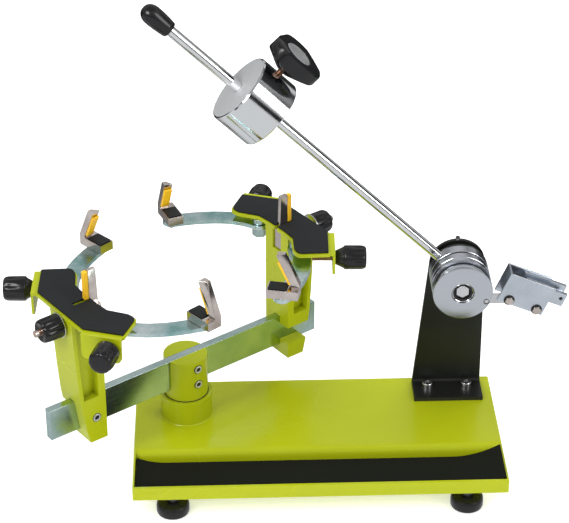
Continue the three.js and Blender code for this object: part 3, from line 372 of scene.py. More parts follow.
plateLook("discSteel", (0.62, 0.63, 0.64), (0.95, 0.95, 0.95), 0.5, fineness=400.0, length=1.0,
          depth=0.05)
plateLook("endSteel", (0.80, 0.83, 0.85), (0.88, 0.90, 0.91), 0.7, fineness=400.0, length=1.0,
          depth=0.05)
polishLook("rodChrome", (0.80, 0.81, 0.82), (0.90, 0.91, 0.92), 0.05)
turnedLook("weightChrome", (0.74, 0.76, 0.78), (0.88, 0.89, 0.90), 0.08, weightCentre, (0, rodTurn, 0),
           depth=0.05)
turnedLook("drumSteel", (0.52, 0.55, 0.60), (0.72, 0.75, 0.80), 0.2, drumCentre, (math.pi / 2, 0, 0))
print("materials built:", len(looks))


def clearSelection():
    if bpy.context.object and bpy.context.object.mode != "OBJECT":
        bpy.ops.object.mode_set(mode="OBJECT")
    bpy.ops.object.select_all(action="DESELECT")


def pick(piece):
    clearSelection()
    piece.select_set(True)
    bpy.context.view_layer.objects.active = piece


def named(piece, name):
    piece.name = name
    piece.data.name = name
    return piece


def selectWhere(piece, test):
    # vertices picked by their place, in edit mode
    bpy.ops.mesh.select_mode(type="VERT")
    shape = bmesh.from_edit_mesh(piece.data)
    for vert in shape.verts:
        vert.select = bool(test(vert.co))
    shape.select_flush_mode()
    bmesh.update_edit_mesh(piece.data)


def outwards():
    bpy.ops.mesh.select_all(action="SELECT")
    bpy.ops.mesh.normals_make_consistent(inside=False)
    bpy.ops.object.mode_set(mode="OBJECT")


def turnProfile(name, stations, sides=64, bored=False):
    # a ring drawn up station by station, each a radius and a height
    clearSelection()
    radius, height = stations[0]
    bpy.ops.mesh.primitive_circle_add(
        vertices=sides, radius=radius * mm, location=(0, 0, height * mm),
        fill_type="NOTHING" if bored else "NGON",
    )
    piece = named(bpy.context.object, name)
    bpy.ops.object.transform_apply()
    bpy.ops.object.mode_set(mode="EDIT")
    bpy.ops.mesh.select_all(action="SELECT")
    for nextRadius, nextHeight in stations[1:] + (stations[:1] if bored else []):
        bpy.ops.mesh.extrude_region_move(
            TRANSFORM_OT_translate={"value": (0, 0, (nextHeight - height) * mm)})
        if nextRadius != radius:
            grow = nextRadius / radius
            bpy.ops.transform.resize(value=(grow, grow, 1), center_override=(0, 0, nextHeight * mm))
        radius, height = nextRadius, nextHeight
    if bored:
        bpy.ops.mesh.select_all(action="SELECT")
        bpy.ops.mesh.remove_doubles(threshold=0.01 * mm)
    outwards()
    return piece


def fluteRim(piece, count, low, high, pulls):
    # the rim pulled in between lobes; pulls are (degrees from a flute's middle, share of the radius kept)
    pick(piece)
    bpy.ops.object.mode_set(mode="EDIT")
    pitch = 360 / count
    for reach, keep in pulls:
        def nearFlute(place):
            angle = math.degrees(math.atan2(place.y, place.x)) % pitch
            onRay = abs(min(angle, pitch - angle) - reach) < 0.5
            return onRay and low * mm <= place.z <= high * mm and place.xy.length > 1 * mm
        selectWhere(piece, nearFlute)
        bpy.ops.transform.resize(value=(keep, keep, 1), center_override=(0, 0, 0))
    bpy.ops.object.mode_set(mode="OBJECT")


def soften(piece, width, segments=2, angle=32):
    # rounded edges, as a file or a paint layer leaves them
    pick(piece)
    bevel = piece.modifiers.new("soften", "BEVEL")
    bevel.limit_method = "ANGLE"
    bevel.angle_limit = math.radians(angle)
    bevel.width = width * mm
    bevel.segments = segments
    bevel.use_clamp_overlap = True
    bpy.ops.object.modifier_apply(modifier=bevel.name)


def smooth(piece, angle=35):
    pick(piece)
    bpy.ops.object.shade_smooth_by_angle(angle=math.radians(angle))


def cutAway(piece, cutter):
    pick(piece)
    cut = piece.modifiers.new("cut", "BOOLEAN")
    cut.operation = "DIFFERENCE"
    cut.solver = "EXACT"
    cut.object = cutter
    bpy.ops.object.modifier_apply(modifier=cut.name)
    bpy.data.objects.remove(cutter)


def placeAlong(origin, along, side=(0, 0, 1)):
    # a frame whose Z runs along the piece
    z = Vector(along).normalized()
    hint = Vector(side)
    if abs(hint.normalized().dot(z)) > 0.95:
        hint = Vector((1, 0, 0))
    x = (hint - hint.dot(z) * z).normalized()
    turn = Matrix((x, z.cross(x), z)).transposed()
    return Matrix.Translation(origin) @ turn.to_4x4()


def fit(piece, look, body, place=None, stands=()):
    # a piece put in its place, given its material and handed to its body
    if place is not None:
        piece.data.transform(place)
    piece.data.materials.clear()
    piece.data.materials.append(looks[look])
    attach(piece, body)
    if stands:
        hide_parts(*stands)


def camel(node):
    first, *rest = node.split("_")
    return first + "".join(word.capitalize() for word in rest)


def dressNode(node, look, width, segments):
    # a merged copy of a frame solid, with its edges softened
    clearSelection()
    piece = bpy.data.objects.new(camel(node), frame["nodes"][node].data.copy())
    bpy.context.scene.collection.objects.link(piece)
    piece.data.name = piece.name
    pick(piece)
    bpy.ops.object.mode_set(mode="EDIT")
    bpy.ops.mesh.select_all(action="SELECT")
    bpy.ops.mesh.remove_doubles(threshold=0.02 * mm)
    bpy.ops.mesh.dissolve_limited(angle_limit=math.radians(0.4))
    bpy.ops.object.mode_set(mode="OBJECT")
    soften(piece, width, segments)
    smooth(piece)
    level = piece.modifiers.new("level", "WEIGHTED_NORMAL")
    level.keep_sharp = True
    bpy.ops.object.modifier_apply(modifier=level.name)
    fit(piece, look, bodyOf[node], stands=(node,))


# Pieces that keep the frame's own shape: look, slot, edge rounding, bevel steps
dressed = {
    "base_pan": ("limePaint", "lime_paint", 0.6, 2),
    "tray_mat": ("matRubber", "mat_rubber", 0.5, 2),
    "swivel_post": ("limePaint", "lime_paint", 0.6, 3),
    "swivel_bolt": ("darkSteel", "steel_screw", 0.5, 2),
    "slide_beam": ("zincBar", "zinc_plate", 0.5, 3),
    "tension_bracket": ("bracketPaint", "black_paint", 0.7, 3),
    "axle_bolt": ("brightSteel", "chrome", 0.7, 2),
    "gripper_frame": ("gripZinc", "zinc_plate", 0.35, 2),
    "gripper_link": ("brightSteel", "turned_steel", 0.4, 2),
    "gripper_bolt_near": ("hookNickel", "steel_screw", 0.9, 3),
    "gripper_bolt_far": ("hookNickel", "steel_screw", 0.9, 3),
}
for end in ends:
    dressed["upright_" + end] = ("limePaint", "lime_paint", 0.9, 3)
    dressed["head_plate_" + end] = ("limePaint", "lime_paint", 0.8, 3)
    dressed["head_pad_" + end] = ("padRubber", "black_rubber", 0.7, 2)
    dressed["centre_support_" + end] = ("hookNickel", "chrome", 0.5, 2)
    dressed["centre_pad_" + end] = ("yellowPlastic", "yellow_pad", 0.8, 3)
for arm in arms:
    dressed["swing_arm_" + arm] = ("tealZinc", "zinc_plate", 0.5, 2)
    dressed["arm_bolt_" + arm] = ("zincBar", "zinc_plate", 0.6, 2)
    dressed["shoulder_hook_" + arm] = ("hookNickel", "chrome", 0.9, 3)
    dressed["grip_pad_" + arm] = ("yellowPlastic", "yellow_pad", 0.8, 3)

for node, (look, slot, width, segments) in dressed.items():
    dressNode(node, look, width, segments)
print("frame solids dressed:", len(dressed))


def repeat(piece, name):
    again = bpy.data.objects.new(name, piece.data.copy())
    bpy.context.scene.collection.objects.link(again)
    again.data.name = name
    return again


def corners(node):
    return [vert.co for vert in frame["nodes"][node].data.vertices]


def endOf(node, along):
    # the point where a straight piece ends, on its own middle line
    points = corners(node)
    middle = sum(points, Vector()) / len(points)
    reach = max(point.dot(along) for point in points)
    return middle + along * (reach - middle.dot(along))


def addBox(name, low, high, width=0.0, segments=2):
    clearSelection()
    middle = [(a + b) / 2 * mm for a, b in zip(low, high)]
    bpy.ops.mesh.primitive_cube_add(size=1, location=middle)
    piece = named(bpy.context.object, name)
    bpy.ops.transform.resize(value=[(b - a) * mm for a, b in zip(low, high)])
    bpy.ops.object.transform_apply()
    if width:
        soften(piece, width, segments)
        smooth(piece)
    return piece


def addBar(name, radius, low, high, sides=48):
    # a plain bar along Z, to be cut away from another piece
    clearSelection()
    bpy.ops.mesh.primitive_cylinder_add(
        vertices=sides, radius=radius * mm, depth=(high - low) * mm, location=(0, 0, (low + high) / 2 * mm))
    bpy.ops.object.transform_apply()
    return named(bpy.context.object, name)


def threadStations(radius, low, high, pitch=1.25, depth=0.55):
    # a stud's ridges between two chamfered ends
    stations = [(radius - 1.0, low), (radius, low + 0.8)]
    turns = int((high - low - 2) / pitch)
    for turn in range(turns):
        height = low + 0.9 + turn * pitch
        stations += [(radius - depth, height + pitch / 2), (radius, height + pitch)]
    return stations + [(radius - 1.0, high)]


# Knobs on the arms, their flutes running out over the rounded end; heights from the knob's inner face
armKnobSizes = {
    "stations": [(8.6, 0), (8.8, 1.6), (12.6, 3.2), (13.9, 4.4), (14.2, 5.6), (14.2, 12), (14.2, 18),
                 (14.1, 23), (13.7, 26.2), (12.6, 28.6), (11.0, 29.7), (8.5, 30)],
    "flutes": 8,
    "pulls": ((17.0, 24.5, ((0, 0.90), (4.5, 0.915), (9, 0.955), (13.5, 0.985))),
              (25.5, 27.0, ((0, 0.945), (4.5, 0.955), (9, 0.98)))),
    "lugFace": 8.0, "gaps": {"left_rear": 4.5, "left_front": 0.6, "right_rear": 1.5, "right_front": 6.5},
    "studRadius": 4.0, "studDepth": 19.0, "studIntoKnob": 0.5,
    "neckRadius": (8.4, 12.5), "neckBore": 4.3, "neckPlay": 0.4, "neckLeast": 1, "shoulder": 3.2,
}
knobModel = turnProfile("armKnobModel", armKnobSizes["stations"], 80)
for low, high, pulls in armKnobSizes["pulls"]:
    fluteRim(knobModel, armKnobSizes["flutes"], low, high, pulls)
soften(knobModel, 0.3, 2, 50)
smooth(knobModel, 40)
for arm in arms:
    spin = arm + "_arm_knob_spin"
    face = armKnobSizes["lugFace"] + armKnobSizes["gaps"][arm]
    place = placeAlong(jointPoint(spin), jointAxis(spin))
    knob = repeat(knobModel, camel("arm_knob_" + arm))
    fit(knob, "knobPlastic", arm + "_arm_knob",
        place @ Matrix.Translation((0, 0, face * mm)), stands=("arm_knob_" + arm,))
    thread = threadStations(armKnobSizes["studRadius"], -armKnobSizes["studDepth"],
                            face + armKnobSizes["studIntoKnob"])
    stud = turnProfile(camel("arm_stud_" + arm), thread, 32)
    smooth(stud, 25)
    fit(stud, "copperThread", arm + "_arm_knob", place)
    neckLength = armKnobSizes["gaps"][arm] - armKnobSizes["neckPlay"]
    if neckLength > armKnobSizes["neckLeast"]:
        bore, (rim, root) = armKnobSizes["neckBore"], armKnobSizes["neckRadius"]
        neckTop = neckLength + armKnobSizes["shoulder"]
        neck = turnProfile(camel("arm_neck_" + arm),
                           [(bore, 0), (rim - 0.5, 0), (rim, 0.5), (root, neckTop), (bore, neckTop)],
                           48, bored=True)
        smooth(neck, 30)
        fit(neck, "knobPlastic", arm + "_arm_knob",
            place @ Matrix.Translation((0, 0, (face - neckLength) * mm)))
bpy.data.objects.remove(knobModel)
print("arm knobs and studs:", len(arms))

# Centre knobs: ribbed and dished, with a bright washer, on the support's threaded rod
centreKnobSizes = {
    "stations": [(14.1, 1.6), (14.25, 2.4), (14.25, 12), (14.25, 18), (13.7, 21.6), (12.4, 24.2),
                 (11.0, 25), (9.2, 24.6), (6.2, 23.2), (4.35, 22.6), (4.35, 1.6)],
    "height": 25, "flutes": 10, "fluteLow": 11, "fluteHigh": 22,
    "pulls": ((0, 0.905), (4.5, 0.93), (9, 0.975)),
    "washer": [(4.35, 0), (15, 0), (15, 1.5), (4.35, 1.5)],
    "face": {"left": 2.05, "right": 11.35},
    "studRadius": 4.12, "studLength": 32.6, "proud": 7.0, "overrun": 0.05,
}
for end in ends:
    outward = jointAxis(end + "_centre_knob_spin") * (-1 if end == "left" else 1)
    place = placeAlong(jointPoint(end + "_centre_knob_spin"), outward)
    seat = place @ Matrix.Translation((0, 0, centreKnobSizes["face"][end] * mm))
    knob = turnProfile(camel("centre_knob_" + end), centreKnobSizes["stations"], 80, bored=True)
    fluteRim(knob, centreKnobSizes["flutes"], centreKnobSizes["fluteLow"], centreKnobSizes["fluteHigh"],
             centreKnobSizes["pulls"])
    smooth(knob, 40)
    fit(knob, "knobPlastic", end + "_centre_knob", seat, stands=("centre_knob_" + end,))
    washer = turnProfile(camel("centre_washer_" + end), centreKnobSizes["washer"], 64, bored=True)
    soften(washer, 0.3, 2)
    smooth(washer)
    fit(washer, "brightSteel", end + "_centre_knob", seat)
    tip = centreKnobSizes["height"] + centreKnobSizes["proud"]
    thread = threadStations(centreKnobSizes["studRadius"], tip - centreKnobSizes["studLength"],
                            tip + centreKnobSizes["overrun"])
    stud = turnProfile(camel("centre_stud_" + end), thread, 32)
    smooth(stud, 25)
    fit(stud, "copperThread", end + "_centre_support", seat)
print("centre knobs:", len(ends))

# Set screws with hexagon sockets, each with a black socket floor and a black rim ring standing for the shade in
# the socket and round the hole (painted shade), and a bright collar
setScrewSizes = {
    "radius": 4.2, "length": 14, "chamfer": 0.8, "socket": 3.0, "socketDepth": 3.2, "cutTop": 2,
    # floor and rim are black pieces put where only shade falls: painted shade
    "floor": [(2.9, -3.1), (2.9, -1.1), (2.0, -0.9)],
    "rim": [(4.9, -1.2), (5.5, -1.2), (5.5, -0.1), (4.9, 0.1)],
    "collar": [(3.2, -1.0), (4.9, -1.0), (4.9, 0.2), (4.5, 0.45), (3.2, 0.45)],
}
ahead = Vector((math.sin(beamTurn), -math.cos(beamTurn), 0))
setScrews = {
    "post_screw_lower": ahead, "post_screw_upper": ahead,
    "upright_screw_left": ahead, "upright_screw_right": -ahead,
}
for node, outward in setScrews.items():
    radius, length = setScrewSizes["radius"], setScrewSizes["length"]
    screw = turnProfile(camel(node), [(radius - setScrewSizes["chamfer"], -length), (radius, 1 - length),
                                      (radius, -0.5), (radius - 0.45, 0)], 48)
    cutAway(screw, addBar("socketCut", setScrewSizes["socket"], -setScrewSizes["socketDepth"],
                          setScrewSizes["cutTop"], sides=6))
    smooth(screw)
    place = placeAlong(endOf(node, outward), outward)
    fit(screw, "brightSteel", bodyOf[node], place, stands=(node,))
    for part, stations, bored, look in (
            ("Socket", setScrewSizes["floor"], False, "knobPlastic"),
            ("Rim", setScrewSizes["rim"], True, "knobPlastic"),
            ("Collar", setScrewSizes["collar"], True, "discSteel")):
        trim = turnProfile(camel(node) + part, stations, 48, bored=bored)
        smooth(trim, 30)
        fit(trim, look, bodyOf[node], place)
print("set screws:", len(setScrews))

# Rubber feet with stud and lock nut
footSizes = {
    "disc": [(16.6, 0), (18.4, 0.7), (19, 2.2), (19, 9.4), (18.7, 11.4), (17.4, 13.4), (15.0, 14.6),
             (11, 15), (5, 15)],
    "studRadius": 4, "studFoot": 12, "nut": [(7.9, 15.1), (7.9, 20.2)],
}
feet = ("front_left", "front_right", "rear_left", "rear_right")
for corner in feet:
    node = "foot_" + corner
    points = corners(node)
    middleX, middleY = ((min(point[axis] for point in points) + max(point[axis] for point in points)) / 2
                        for axis in range(2))
    middle = Vector((middleX, middleY, 0))
    top = max(point.z for point in points) / mm
    stand = Matrix.Translation(middle)
    disc = turnProfile(camel(node), footSizes["disc"], 72)
    smooth(disc, 30)
    fit(disc, "footRubber", "base", stand, stands=(node,))
    thread = threadStations(footSizes["studRadius"], footSizes["studFoot"], top)
    stud = turnProfile(camel("foot_stud_" + corner), thread, 32)
    smooth(stud, 25)
    fit(stud, "brightSteel", "base", stand)
    nut = turnProfile(camel("foot_nut_" + corner), footSizes["nut"], 6)
    soften(nut, 0.7, 2)
    smooth(nut)
    fit(nut, "darkSteel", "base", stand)
print("feet:", len(feet))

# Button-head screws in the bracket's foot
buttonSizes = {
    "stations": [(4, -12), (4, 0), (6.5, 0), (6.5, 4.2), (6.3, 5.2), (5.7, 5.8), (4.8, 6)],
    "socket": 3.1, "socketDepth": 3.2, "cutTop": 9, "height": 6.0,
    # floor is a black disc at the socket's bottom, standing for the shade there: painted shade
    "floor": [(3.0, 2.9), (3.0, 4.6), (2.0, 4.8)],
}
bracketScrews = ("bracket_screw_left", "bracket_screw_right")
for node in bracketScrews:
    top = endOf(node, Vector((0, 0, 1)))
    screw = turnProfile(camel(node), buttonSizes["stations"], 48)
    socketLow = buttonSizes["height"] - buttonSizes["socketDepth"]
    cutAway(screw, addBar("socketCut", buttonSizes["socket"], socketLow, buttonSizes["cutTop"], sides=6))
    smooth(screw, 30)
    place = Matrix.Translation(top - Vector((0, 0, buttonSizes["height"] * mm)))
    fit(screw, "brightSteel", "base", place, stands=(node,))
    # black socket floor: painted shade
    trim = turnProfile(camel(node) + "Socket", buttonSizes["floor"], 32)
    smooth(trim, 30)
    fit(trim, "knobPlastic", "base", place)
print("bracket screws:", len(bracketScrews))

# Drum and clutch, built from the drum's front face backwards along Y
drumSizes = {
    "front": 131.0 + shiftY,
    "slot": {"start": 18, "end": 40, "low": 1.7, "high": 21.7, "front": 4.85, "back": 9.15},
    "pin": (27.7, 11.7, 3.7, 15.85),
    "rim": [(13.4, 0), (33.2, 0), (34.3, 0.4), (34.7, 1.4), (34.7, 6.0), (34.0, 7), (29.6, 7), (29.6, 7.8),
            (31, 7.9), (31, 15.1), (29.6, 15.2), (29.6, 16), (34.0, 16), (34.7, 17.0), (34.7, 23.0),
            (34.2, 23.4), (34.2, 23.9), (34.7, 24.3), (34.7, 33.3), (34.3, 33.7), (29.8, 33.7), (29.8, 35),
            (6.4, 35), (6.4, 11), (13, 11), (13, 0.5)],
    "seal": [(9.0, 2.2), (11.3, 2.2), (11.3, 5.6), (9.0, 5.6)],
    # the three line rings are black rings standing for the shade in the drum's two notches and in the gap between
    # drum and clutch: painted shade
    "lineFront": [(30.0, 7.1), (31.5, 7.1), (31.5, 8.3), (30.0, 8.3)],
    "lineMiddle": [(30.0, 14.7), (31.5, 14.7), (31.5, 15.9), (30.0, 15.9)],
    "lineRear": [(30.0, 33.8), (34.1, 33.8), (34.1, 36.4), (30.0, 36.4)],
    "sealRing": [(11.5, 1.4), (12.0, 1.0), (12.5, 1.4), (12.5, 5.6), (11.5, 5.6)],
    "clutch": [(6.4, 35.3), (29.8, 35.3), (29.8, 36.5), (34.3, 36.5), (34.7, 36.9), (34.7, 49.4),
               (34.0, 50.2), (6.4, 50.2)],
    "clutchSeal": [(20, 50.3), (34.0, 50.3), (34.5, 50.8), (34.5, 53.3), (33.6, 53.9), (20, 53.9)],
    "rodHole": (6.2, 11, 60),
}
axle = jointPoint("drum_turn")
drumPlace = Matrix((
    (1, 0, 0, axle.x), (0, 0, 1, drumSizes["front"] * mm), (0, -1, 0, axle.z), (0, 0, 0, 1)))
drum = turnProfile("tensionDrum", drumSizes["rim"], 128, bored=True)
slotSizes = drumSizes["slot"]
cutAway(drum, addBox("slotCut", (slotSizes["start"], slotSizes["low"], slotSizes["front"]),
                     (slotSizes["end"], slotSizes["high"], slotSizes["back"])))
pinX, pinY, pinRadius, pinDepth = drumSizes["pin"]
pinCut = addBar("pinCut", pinRadius, -2, pinDepth)
pinCut.data.transform(Matrix.Translation((pinX * mm, pinY * mm, 0)))
cutAway(drum, pinCut)
smooth(drum, 25)
fit(drum, "drumSteel", "drum", drumPlace, stands=("tension_drum",))
# the line rings below are black rings of painted shade
for name, stations, look, slot in (
        ("drumSeal", drumSizes["seal"], "knobPlastic", "black_rubber"),
        ("drumSealRing", drumSizes["sealRing"], "brightSteel", "chrome"),
        ("drumLineFront", drumSizes["lineFront"], "padRubber", "black_rubber"),
        ("drumLineMiddle", drumSizes["lineMiddle"], "padRubber", "black_rubber"),
        ("drumLineRear", drumSizes["lineRear"], "padRubber", "black_rubber")):
    seal = turnProfile(name, stations, 64, bored=True)
    smooth(seal, 25)
    fit(seal, look, "drum", drumPlace)

rodAxis = jointAxis("weight_slide")
rodPlace = placeAlong(jointPoint("rod_swing"), rodAxis, (0, 1, 0))
for name, stations, look, slot in (
        ("clutchRing", drumSizes["clutch"], "drumSteel", "turned_steel"),
        ("clutchSeal", drumSizes["clutchSeal"], "knobPlastic", "black_plastic")):
    ring = turnProfile(name, stations, 128, bored=True)
    ring.data.transform(drumPlace)
    rodCut = addBar("rodCut", *drumSizes["rodHole"])
    rodCut.data.transform(rodPlace)
    cutAway(ring, rodCut)
    smooth(ring, 25)
    fit(ring, look, "rod", stands=("clutch_ring",) if name == "clutchRing" else ())
print("drum and clutch built")

# Tension rod, cap and drop weight; heights are distances from the drum's axle
rodSizes = {
    "rod": [(5.2, 12.3), (6, 13.1), (6, 240), (6, 482.7), (5.2, 483.4)],
    "cap": [(6.1, 483.8), (6.1, 457.5), (8.9, 457.5), (9.4, 458.1), (10.1, 463), (11.0, 473), (11.3, 480),
            (11.2, 484), (10.8, 487.2), (9.9, 489.8), (8.5, 492.1), (6.8, 493.9), (4.8, 495.1),
            (2.4, 495.8), (0.8, 496)],
    "weight": [(6.3, 305), (8.0, 305), (39.9, 305), (41.2, 305.5), (42, 306.8), (42, 353.2), (41.2, 354.5),
               (39.9, 355), (8.0, 355), (6.3, 355)],
    "screwHole": (4.4, 0, 60),
    "faces": {"weightFaceTop": [(6.4, 355.05), (39.9, 355.05), (39.9, 354.2), (6.4, 354.2)],
              "weightFaceBottom": [(6.4, 304.95), (39.9, 304.95), (39.9, 305.8), (6.4, 305.8)]},
}
rod = turnProfile("tensionRod", rodSizes["rod"], 64)
smooth(rod, 30)
fit(rod, "rodChrome", "rod", rodPlace, stands=("tension_rod",))
cap = turnProfile("rodCap", rodSizes["cap"], 64)
smooth(cap, 50)
fit(cap, "knobPlastic", "rod", rodPlace, stands=("rod_cap",))
weight = turnProfile("dropWeight", rodSizes["weight"], 160, bored=True)
weight.data.transform(rodPlace)
clampPlace = placeAlong(jointPoint("weight_knob_spin"), jointAxis("weight_knob_spin"), (0, 1, 0))
screwCut = addBar("screwCut", *rodSizes["screwHole"])
screwCut.data.transform(clampPlace)
cutAway(weight, screwCut)
smooth(weight, 28)
fit(weight, "weightChrome", "weight", stands=("drop_weight",))
for name, stations in rodSizes["faces"].items():
    face = turnProfile(name, stations, 160, bored=True)
    smooth(face, 28)
    fit(face, "endSteel", "weight", rodPlace)

# Clamping knob: a cone-backed disc drawn in to three lobes, with a bright disc let into its top
clampSizes = {
    "stations": [(9, 49), (11, 49.6), (20, 54.4), (29, 59.2), (33.6, 61.7), (34.6, 62.8), (34.6, 68),
                 (34.6, 73.4), (33.6, 74.9), (31.6, 76)],
    "recess": [(17.6, 76), (17.2, 74.6), (16.6, 74.4)],
    "sides": 96, "lobes": 3, "waist": 27.5, "reach": 34.6,
    "disc": [(16.4, 74.0), (16.4, 75.1), (15.6, 75.7)],
    "studRadius": 4, "studFoot": 6.5, "studTop": 52,
}
clamp = turnProfile("weightKnob", clampSizes["stations"] + clampSizes["recess"], clampSizes["sides"])
pick(clamp)
bpy.ops.object.mode_set(mode="EDIT")
pitch = 360 / clampSizes["lobes"]
sideTurn = 360 / clampSizes["sides"]
for radius, height in clampSizes["stations"]:
    for step in range(round(pitch / 2 / sideTurn) + 1):
        reach = step * sideTurn
        swell = (1 + math.cos(math.radians(reach * clampSizes["lobes"]))) / 2
        edge = clampSizes["waist"] + (clampSizes["reach"] - clampSizes["waist"]) * swell

        def onLobe(place):
            angle = math.degrees(math.atan2(place.y, place.x)) % pitch
            return (abs(min(angle, pitch - angle) - reach) < 0.5 and abs(place.z - height * mm) < 0.05 * mm
                    and abs(place.xy.length - radius * mm) < 0.05 * mm)
        if edge < radius:
            selectWhere(clamp, onLobe)
            bpy.ops.transform.resize(value=(edge / radius, edge / radius, 1),
                                     center_override=(0, 0, height * mm))
bpy.ops.object.mode_set(mode="OBJECT")
smooth(clamp, 40)
fit(clamp, "knobPlastic", "weight_knob", clampPlace, stands=("weight_knob",))
disc = turnProfile("weightKnobDisc", clampSizes["disc"], 64)
smooth(disc, 30)
fit(disc, "discSteel", "weight_knob", clampPlace)
thread = threadStations(clampSizes["studRadius"], clampSizes["studFoot"], clampSizes["studTop"])
stud = turnProfile("weightKnobStud", thread, 32)
smooth(stud, 25)
fit(stud, "copperThread", "weight_knob", clampPlace)
print("rod, weight and clamping knob built")

# Rest pads on the hooks' blocks, in each hook's own frame
hookSizes = {
    "turn": {"left_rear": -46.0, "left_front": 131.1, "right_rear": 292.1, "right_front": 166.7},
    "padLow": (-7.0, -8.0, 0.05), "padHigh": (15.0, 8.0, 1.5), "shelf": 254.3,
}
restPad = addBox("restPadModel", hookSizes["padLow"], hookSizes["padHigh"], 0.5, 2)
for arm in arms:
    swivel = jointPoint(arm + "_hook_swivel")
    place = (Matrix.Translation((swivel.x, swivel.y, hookSizes["shelf"] * mm))
             @ Matrix.Rotation(math.radians(hookSizes["turn"][arm]), 4, "Z"))
    pad = repeat(restPad, camel("rest_pad_" + arm))
    fit(pad, "padRubber", arm + "_hook", place)
bpy.data.objects.remove(restPad)
print("rest pads:", len(arms))

# Gripper jaw: two bars with a gap, the front one with the string hole, and the spring behind the web
gripSizes = {
    "low": (-10.2, 136.3, 12.5), "high": (61.8, 155.7, 32.0),
    "gapCut": ((8.0, 141.2, 20.0), (90, 150.6, 60)), "springCut": ((-30, 100, 19.0), (8.0, 200, 60)),
    "tabCut": ((44.5, 100, 29.0), (90, 141.2, 60)), "hole": (56.3, 22.2, 2.1),
    "stopScrew": [(2.0, 140.0), (2.0, 137.3), (1.4, 136.9)],
    # washer is a black ring round each gripper bolt, standing for the shadow gap there: painted shade
    "washer": [(5.0, -4.0), (6.4, -4.0), (6.4, -3.4), (5.0, -3.4)],
    "spring": {"wire": 0.75, "wireSides": 10, "radius": 3.4, "coils": 8, "coilSteps": 24, "length": 14.0,
               "place": (-9.4, 145.9, 25.5)},
}
gripTurn = jointAxis("jaw_slide")
gripOrigin = jointPoint("gripper_swing")
gripUp = Vector((-gripTurn.z, 0, gripTurn.x))
gripPlace = Matrix((
    (gripTurn.x, 0, gripUp.x, gripOrigin.x), (0, 1, 0, shiftY * mm),
    (gripTurn.z, 0, gripUp.z, gripOrigin.z), (0, 0, 0, 1)))
jaw = addBox("gripperJaw", gripSizes["low"], gripSizes["high"])
for name in ("gapCut", "springCut", "tabCut"):
    cutAway(jaw, addBox(name, *gripSizes[name]))
holeX, holeZ, holeRadius = gripSizes["hole"]
holePlace = Matrix.Translation((holeX * mm, 0, holeZ * mm)) @ Matrix.Rotation(-math.pi / 2, 4, "X")
holeCut = addBar("holeCut", holeRadius, 0, 200)
holeCut.data.transform(holePlace)
cutAway(jaw, holeCut)
soften(jaw, 0.35, 2)
smooth(jaw)
fit(jaw, "gripZinc", "jaw", gripPlace, stands=("gripper_jaw",))
stopScrew = turnProfile("jawStopScrew", gripSizes["stopScrew"], 24)
smooth(stopScrew, 30)
fit(stopScrew, "knobPlastic", "jaw", gripPlace @ holePlace)
front = Vector((0, -1, 0))
# black rings round the bolts: painted shade
for node in ("gripper_bolt_near", "gripper_bolt_far"):
    washer = turnProfile(camel(node) + "Washer", gripSizes["washer"], 48, bored=True)
    smooth(washer, 30)
    fit(washer, "knobPlastic", "gripper", placeAlong(endOf(node, front), front))

springSizes = gripSizes["spring"]
clearSelection()
bpy.ops.mesh.primitive_circle_add(
    vertices=springSizes["wireSides"], radius=springSizes["wire"] * mm, fill_type="NOTHING",
    location=(springSizes["radius"] * mm, 0, 0), rotation=(math.pi / 2, 0, 0))
spring = named(bpy.context.object, "jawSpring")
bpy.ops.object.transform_apply()
coil = spring.modifiers.new("coil", "SCREW")
coil.axis = "Z"
coil.screw_offset = springSizes["length"] / springSizes["coils"] * mm
coil.iterations = springSizes["coils"]
coil.steps = coil.render_steps = springSizes["coilSteps"]
bpy.ops.object.modifier_apply(modifier=coil.name)
bpy.ops.object.mode_set(mode="EDIT")
bpy.ops.mesh.select_all(action="SELECT")
bpy.ops.mesh.remove_doubles(threshold=0.01 * mm)
bpy.ops.mesh.fill_holes(sides=0)
outwards()
smooth(spring, 60)
springX, springY, springZ = (value * mm for value in springSizes["place"])
fit(spring, "darkSteel", "gripper",
    gripPlace @ Matrix.Translation((springX, springY, springZ)) @ Matrix.Rotation(math.pi / 2, 4, "Y"))
print("gripper jaw and spring built")

# Weld bead, and a dark ring round the collar standing for the shade in the groove there (painted shade); heights
# from the pan's top
collarSizes = {
    "weld": [(30.4, 0.0), (31.8, 0.05), (31.4, 0.6), (31.0, 1.0), (30.4, 1.4)],
    # seal is a black ring standing for the shade in the groove where post meets collar: painted shade
    "seal": [(25.9, 31.05), (26.7, 31.05), (26.7, 31.9), (25.9, 31.9)],
}
swivel = jointPoint("turntable_spin")
panTop = Matrix.Translation((swivel.x, swivel.y, shiftZ * mm))
bead = turnProfile("collarWeld", collarSizes["weld"], 96, bored=True)
smooth(bead, 60)
fit(bead, "limePaint", "base", panTop)
line = turnProfile("postSeal", collarSizes["seal"], 96, bored=True)
smooth(line, 60)
fit(line, "padRubber", "base", panTop)

# Small grub screw on top of the bracket
grubSizes = {
    "stations": [(1.8, 0), (2.6, 0.6), (2.1, 1.2), (2.6, 1.8), (2.1, 2.4), (2.6, 3.0), (2.6, 3.8),
                 (1.9, 4.4)],
    "place": (167.9, 197.5, 203.6),
}
grub = turnProfile("bracketGrub", grubSizes["stations"], 32)
smooth(grub, 40)
grubX, grubY, grubZ = grubSizes["place"]
fit(grub, "darkSteel", "base",
    Matrix.Translation(((grubX + shiftX) * mm, (grubY + shiftY) * mm, (grubZ + shiftZ) * mm)))
print("weld bead, ring and grub screw built")

